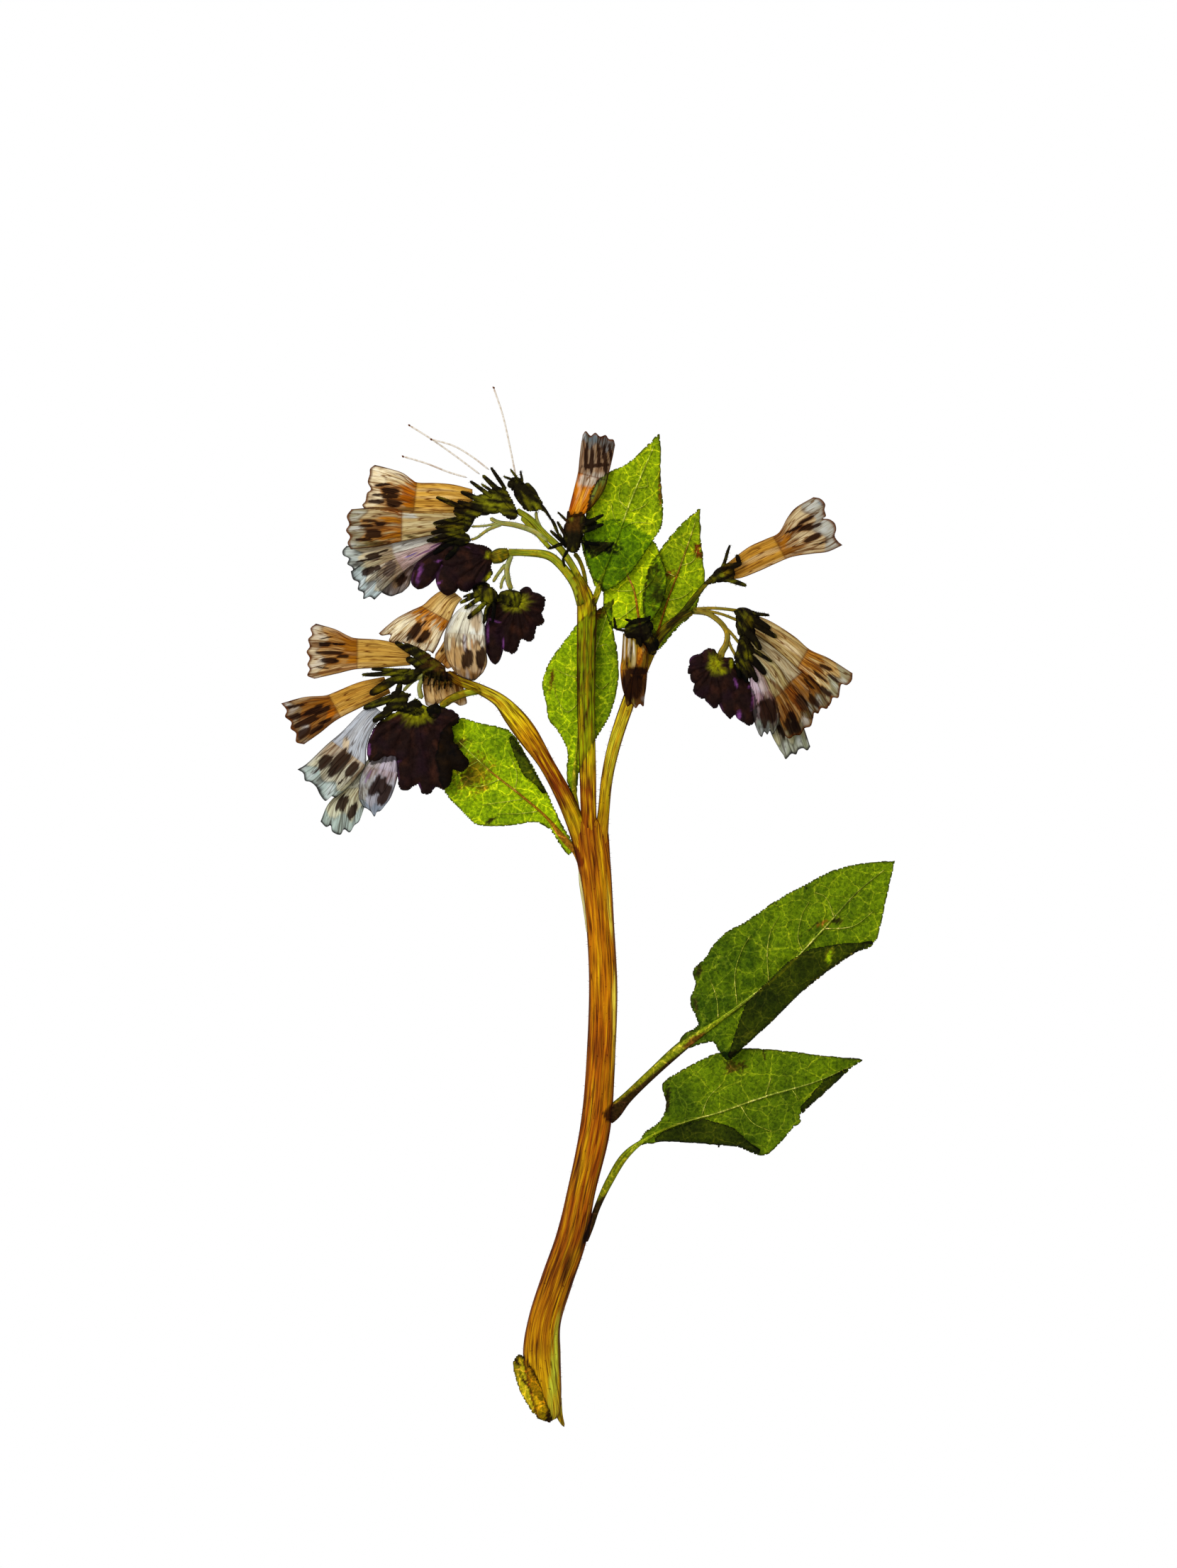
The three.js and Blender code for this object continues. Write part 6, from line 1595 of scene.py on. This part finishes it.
def lay_style(number, z, route):
    piece = start(f"dried_style_{number + 1}", f"style_{number + 1}", "style", "thread")

    def thread_paint(across, v, x, y):
        brown = 0.4 * rise(0.2, 0.5, noise.noise((v * 3, number, 3))) + 0.7 * rise(0.92, 1, v)
        return mix(ink(230, 224, 214), ink(168, 124, 84), brown)

    piece.strand([[x, y, z, 0.11, 0.11] for x, y in route], thread_paint, sides=8, step=0.4, cap=0.1)
    x, y = route[-1]
    knob = [[x - 0.1, y - 0.08, z, 0.12, 0.12], [x, y, z, 0.2, 0.2], [x + 0.06, y + 0.12, z, 0.1, 0.1]]
    piece.strand(knob, knob_paint, sides=10, step=0.05, cap=0.1)


for number, route in enumerate(STYLES):
    lay_style(number, TOP_STYLE_LEVEL if number == 2 else STYLE_LEVEL, route)


class Shade:
    """A finished piece as a shade over the lit table: its box from above, its faces and their colours"""

    def __init__(self, piece):
        bm = piece.bm
        bm.verts.ensure_lookup_table()
        bm.faces.ensure_lookup_table()
        self.piece, self.tree = piece, BVHTree.FromBMesh(bm)
        self.hues = [face.verts[0][piece.tint][:3] for face in bm.faces]
        xs = [v.co.x for v in bm.verts]
        ys = [v.co.y for v in bm.verts]
        self.west, self.east, self.south, self.north = min(xs), max(xs), min(ys), max(ys)

    def meets(self, other):
        beside = other.west < self.east and other.east > self.west
        return beside and other.south < self.north and other.north > self.south

    def covers(self, x, y):
        return self.west < x < self.east and self.south < y < self.north


def paint_shade_from_below(pieces):
    """Paints shade into each piece's colour where other pieces lie under it, as thin tissue on a lit table is
    darkened
    """
    shades = [Shade(piece) for piece in pieces]
    down = Vector((0, 0, -1))
    for shade in shades:
        piece = shade.piece
        near = [other for other in shades if other is not shade and shade.meets(other)]
        clear = PAINTED_SHADE_DEPTH.get(piece.node, PAINTED_SHADE_DEPTH[piece.finish])
        for vert in piece.bm.verts:
            x, y, z = vert.co
            light = [1.0, 1.0, 1.0]
            for other in near:
                if other.covers(x, y):
                    hit, _, face, _ = other.tree.ray_cast((x, y, z - 0.01), down)
                    if hit is not None:
                        light = [a * max(0.02, b) ** clear for a, b in zip(light, other.hues[face])]
            own = vert[piece.tint][:3]
            vert[piece.tint] = (*(a * max(0.06, b) for a, b in zip(own, light)), 1)


# Painted shade: each piece's colour is darkened where other pieces lie under it
paint_shade_from_below(pieces)


class Finish:
    """A material in the making"""

    def __init__(self, name):
        self.made = bpy.data.materials.new(name)
        self.made.use_nodes = True
        self.tree = self.made.node_tree
        self.tree.nodes.clear()

    def add(self, kind, settings=None, **sockets):
        node = self.tree.nodes.new(kind)
        for key, value in (settings or {}).items():
            setattr(node, key, value)
        for key, value in sockets.items():
            self.put(node, key.replace("_", " "), value)
        return node

    def put(self, node, socket, value):
        target = node.inputs[int(socket)] if socket.isdigit() else node.inputs[socket]
        if isinstance(value, bpy.types.NodeSocket):
            self.tree.links.new(value, target)
        else:
            target.default_value = value

    def shaded(self, colour, shade, share):
        """A colour multiplied by a shade, as far as share says"""
        node = self.add("ShaderNodeMix", {"data_type": "RGBA", "blend_type": "MULTIPLY"})
        self.put(node, "0", share)
        self.put(node, "6", colour)
        self.put(node, "7", (*shade, 1))
        return node.outputs[2]

    def between(self, value, low, high, share=1.0):
        """0 where value is below low, share where it is above high; low may be the larger"""
        return self.add(
            "ShaderNodeMapRange", Value=value, From_Min=low, From_Max=high, To_Min=0.0, To_Max=share,
        ).outputs[0]

    def cloud(self, place, scale, detail, rough=0.5):
        """Noise that is even all ways"""
        return self.add(
            "ShaderNodeTexNoise", Vector=place, Scale=scale, Detail=detail, Roughness=rough,
        ).outputs[0]

    def grain(self, place, across, lengthwise, detail=2.0):
        """Noise drawn out along a piece: so many grains a millimetre across it and along it"""
        run = self.add("ShaderNodeMapping", Vector=place, Scale=(across, lengthwise, 1.0)).outputs[0]
        return self.cloud(run, 1.0, detail, 0.6)

    def hairlines(self, place, across, lengthwise, width, share):
        """Thin lines that wander along a piece"""
        wave = self.grain(place, across, lengthwise, 1.0)
        middle = self.add("ShaderNodeMath", {"operation": "SUBTRACT"})
        self.put(middle, "0", wave)
        self.put(middle, "1", 0.5)
        off = self.add("ShaderNodeMath", {"operation": "ABSOLUTE"})
        self.put(off, "0", middle.outputs[0])
        return self.between(off.outputs[0], width, width * 0.3, share)

    def done(self, colour, relief, rough, glow, bump):
        """Matt tissue that lets a little light through"""
        raised = self.add("ShaderNodeBump", Strength=bump, Distance=0.0002, Height=relief).outputs[0]
        skin = self.add("ShaderNodeBsdfPrincipled", Base_Color=colour, Roughness=rough, Normal=raised)
        skin.inputs["Specular IOR Level"].default_value = 0.05
        through = self.add("ShaderNodeBsdfTranslucent", Color=colour, Normal=raised)
        both = self.add("ShaderNodeMixShader")
        self.put(both, "0", glow)
        self.put(both, "1", skin.outputs[0])
        self.put(both, "2", through.outputs[0])
        self.add("ShaderNodeOutputMaterial", Surface=both.outputs[0])
        return self.made


def tinted(name):
    """A finish with the piece's tint, which holds its own colour and the painted shade from what lies under
    it, its fibre map and place to build on
    """
    m = Finish(name)
    tint = m.add("ShaderNodeAttribute", {"attribute_name": "tint"}).outputs["Color"]
    fibre = m.add("ShaderNodeUVMap", {"uv_map": "fibre"}).outputs[0]
    place = m.add("ShaderNodeTexCoord").outputs["Object"]
    return m, tint, fibre, place


def stalk_skin(name, broad, fine, deep):
    """Dried stalk: fine dark fibres, paler strips between them and a few specks"""
    m, colour, fibre, place = tinted(name)
    strips = m.grain(fibre, 3.4, 0.07, 3.0)
    fibres = m.grain(fibre, 8.5, 0.35, 2.0)
    colour = m.shaded(colour, broad, m.between(strips, 0.52, 0.38, 0.85))
    colour = m.shaded(colour, fine, m.between(fibres, 0.52, 0.34, 0.8))
    colour = m.shaded(colour, deep, m.hairlines(fibre, 2.6, 0.05, 0.025, 0.9))
    colour = m.shaded(colour, (1.3, 1.6, 2.4), m.hairlines(fibre, 1.9, 0.06, 0.03, 0.65))
    specks = m.cloud(place, 2300.0, 2.0)
    colour = m.shaded(colour, (0.35, 0.25, 0.2), m.between(specks, 0.68, 0.74, 0.8))
    return m.done(colour, fibres, 0.7, 0.2, 0.35)


def petal_skin(name, warm, deep):
    """Papery petal: streaks, and hairlines of two weights running from base to mouth"""
    m, colour, fibre, _ = tinted(name)
    streaks = m.grain(fibre, 1.3, 0.16, 3.0)
    threads = m.grain(fibre, 5.0, 0.5, 2.0)
    colour = m.shaded(colour, warm, m.between(streaks, 0.5, 0.34, 0.75))
    colour = m.shaded(colour, warm, m.between(threads, 0.47, 0.32, 0.6))
    colour = m.shaded(colour, deep, m.hairlines(fibre, 0.95, 0.09, 0.022, 0.9))
    colour = m.shaded(colour, deep, m.hairlines(fibre, 2.1, 0.2, 0.028, 0.5))
    return m.done(colour, streaks, 0.75, 0.3, 0.4)


def leaf_skin():
    """Pressed leaf: a fine net of pale veins in two sizes, mottled cells and dark specks"""
    m, colour, _, place = tinted("pressed_leaf_skin")
    bent = m.add("ShaderNodeTexNoise", Vector=place, Scale=700.0, Detail=2.0).outputs["Color"]
    shift = m.add("ShaderNodeVectorMath", {"operation": "SCALE"}, Scale=0.0009)
    m.put(shift, "0", bent)
    moved = m.add("ShaderNodeVectorMath", {"operation": "ADD"})
    m.put(moved, "0", place)
    m.put(moved, "1", shift.outputs[0])
    mottle = m.cloud(place, 2600.0, 3.0)
    colour = m.shaded(colour, (0.5, 0.54, 0.48), m.between(mottle, 0.56, 0.4, 0.9))
    for cells, width, share in ((380.0, 0.034, 1.0), (1050.0, 0.042, 0.65)):
        edges = m.add(
            "ShaderNodeTexVoronoi", {"feature": "DISTANCE_TO_EDGE"}, Vector=moved.outputs[0], Scale=cells,
        ).outputs["Distance"]
        colour = m.shaded(colour, (2.1, 1.7, 4.0), m.between(edges, width, width * 0.3, share))
    specks = m.cloud(place, 4600.0, 1.0)
    colour = m.shaded(colour, (0.3, 0.26, 0.3), m.between(specks, 0.68, 0.72, 0.8))
    return m.done(colour, edges, 0.75, 0.25, 0.3)


def dark_skin(name, shade, rough):
    """Calyx and bud skin: small wrinkles"""
    m, colour, _, place = tinted(name)
    wrinkles = m.cloud(place, 1900.0, 4.0, 0.7)
    colour = m.shaded(colour, shade, m.between(wrinkles, 0.56, 0.4))
    return m.done(colour, wrinkles, rough, 0.12, 0.5)


def thread_skin():
    """Style: a pale smooth thread with faint rings"""
    m, colour, fibre, _ = tinted("pale_thread_skin")
    rings = m.grain(fibre, 1.0, 2.4, 2.0)
    colour = m.shaded(colour, (0.8, 0.74, 0.66), m.between(rings, 0.56, 0.4))
    return m.done(colour, rings, 0.6, 0.3, 0.2)


FINISHES = {
    "stalk": stalk_skin("dried_stalk_skin", (0.5, 0.4, 0.3), (0.42, 0.33, 0.25), (0.25, 0.15, 0.1)),
    "green_stalk": stalk_skin("green_stalk_skin", (0.66, 0.7, 0.45), (0.56, 0.62, 0.4), (0.3, 0.32, 0.14)),
    "leaf": leaf_skin(),
    "petal": petal_skin("papery_petal_skin", (0.56, 0.42, 0.22), (0.3, 0.16, 0.06)),
    "young_petal": petal_skin("pale_young_petal_skin", (0.66, 0.62, 0.58), (0.34, 0.3, 0.28)),
    "bristly": dark_skin("bristly_calyx_skin", (0.55, 0.52, 0.5), 0.8),
    "bud": dark_skin("dark_bud_skin", (0.6, 0.52, 0.55), 0.7),
    "thread": thread_skin(),
}
for piece in pieces:
    for vert in piece.bm.verts:
        vert.co = (vert.co.x * MM, vert.co.y * MM, max(0, vert.co.z) * MM)
    for face in piece.bm.faces:
        face.smooth = True
    mesh = bpy.data.meshes.new(piece.name)
    piece.bm.to_mesh(mesh)
    piece.bm.free()
    mesh.materials.append(FINISHES[piece.finish])
    shown = bpy.data.objects.new(piece.name, mesh)
    bpy.context.scene.collection.objects.link(shown)
    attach(shown, "root")
    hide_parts(piece.node)

# From here on all sizes are in metres
# The table: plain, pale and lit from below, a hair under the sprig
TABLE_SIZE = 4
TABLE_LEVEL = -0.0001
table = bpy.data.meshes.new("light_table")
surface = bmesh.new()
bmesh.ops.create_grid(surface, x_segments=1, y_segments=1, size=TABLE_SIZE)
bmesh.ops.translate(surface, vec=(0, 0, TABLE_LEVEL), verts=surface.verts)
surface.to_mesh(table)
surface.free()
light_table = bpy.data.objects.new("light_table", table)
bpy.context.scene.collection.objects.link(light_table)
glass = Finish("plain_white_glass")
white = glass.add("ShaderNodeEmission", Color=(1, 1, 1, 1), Strength=1.0)
glass.add("ShaderNodeOutputMaterial", Surface=white.outputs[0])
table.materials.append(glass.made)

# The camera looks straight down, with the tips of the blooms at the top
LENS = 100
SENSOR = 36
FRAME_HEIGHT = 0.19908  # how much of the table the picture shows, from its top to its bottom
SHARP_LEVEL = 0.0012  # the height over the table where that holds
camera = bpy.data.objects.new("camera", bpy.data.cameras.new("camera"))
camera.data.lens = LENS
camera.data.sensor_width = SENSOR
camera.data.clip_start = 0.01
camera.data.clip_end = 10
camera.location = (0.000135, 0.01566, FRAME_HEIGHT * LENS / SENSOR + SHARP_LEVEL)
bpy.context.scene.collection.objects.link(camera)
bpy.context.scene.camera = camera

# Even white light all round, and a soft lamp from the upper left
LAMP_PLACE = Vector((-0.32, 0.34, 0.55))
world = bpy.data.worlds.new("studio")
bpy.context.scene.world = world
world.use_nodes = True
world.node_tree.nodes["Background"].inputs["Color"].default_value = (1, 1, 1, 1)
world.node_tree.nodes["Background"].inputs["Strength"].default_value = 0.72
lamp = bpy.data.lights.new("softbox", "AREA")
lamp.shape = "SQUARE"
lamp.size = 0.35
lamp.energy = 4.2
softbox = bpy.data.objects.new("softbox", lamp)
softbox.location = LAMP_PLACE
softbox.rotation_mode = "QUATERNION"
softbox.rotation_quaternion = LAMP_PLACE.to_track_quat("Z", "Y")
bpy.context.scene.collection.objects.link(softbox)
bpy.context.scene.view_settings.view_transform = "Standard"
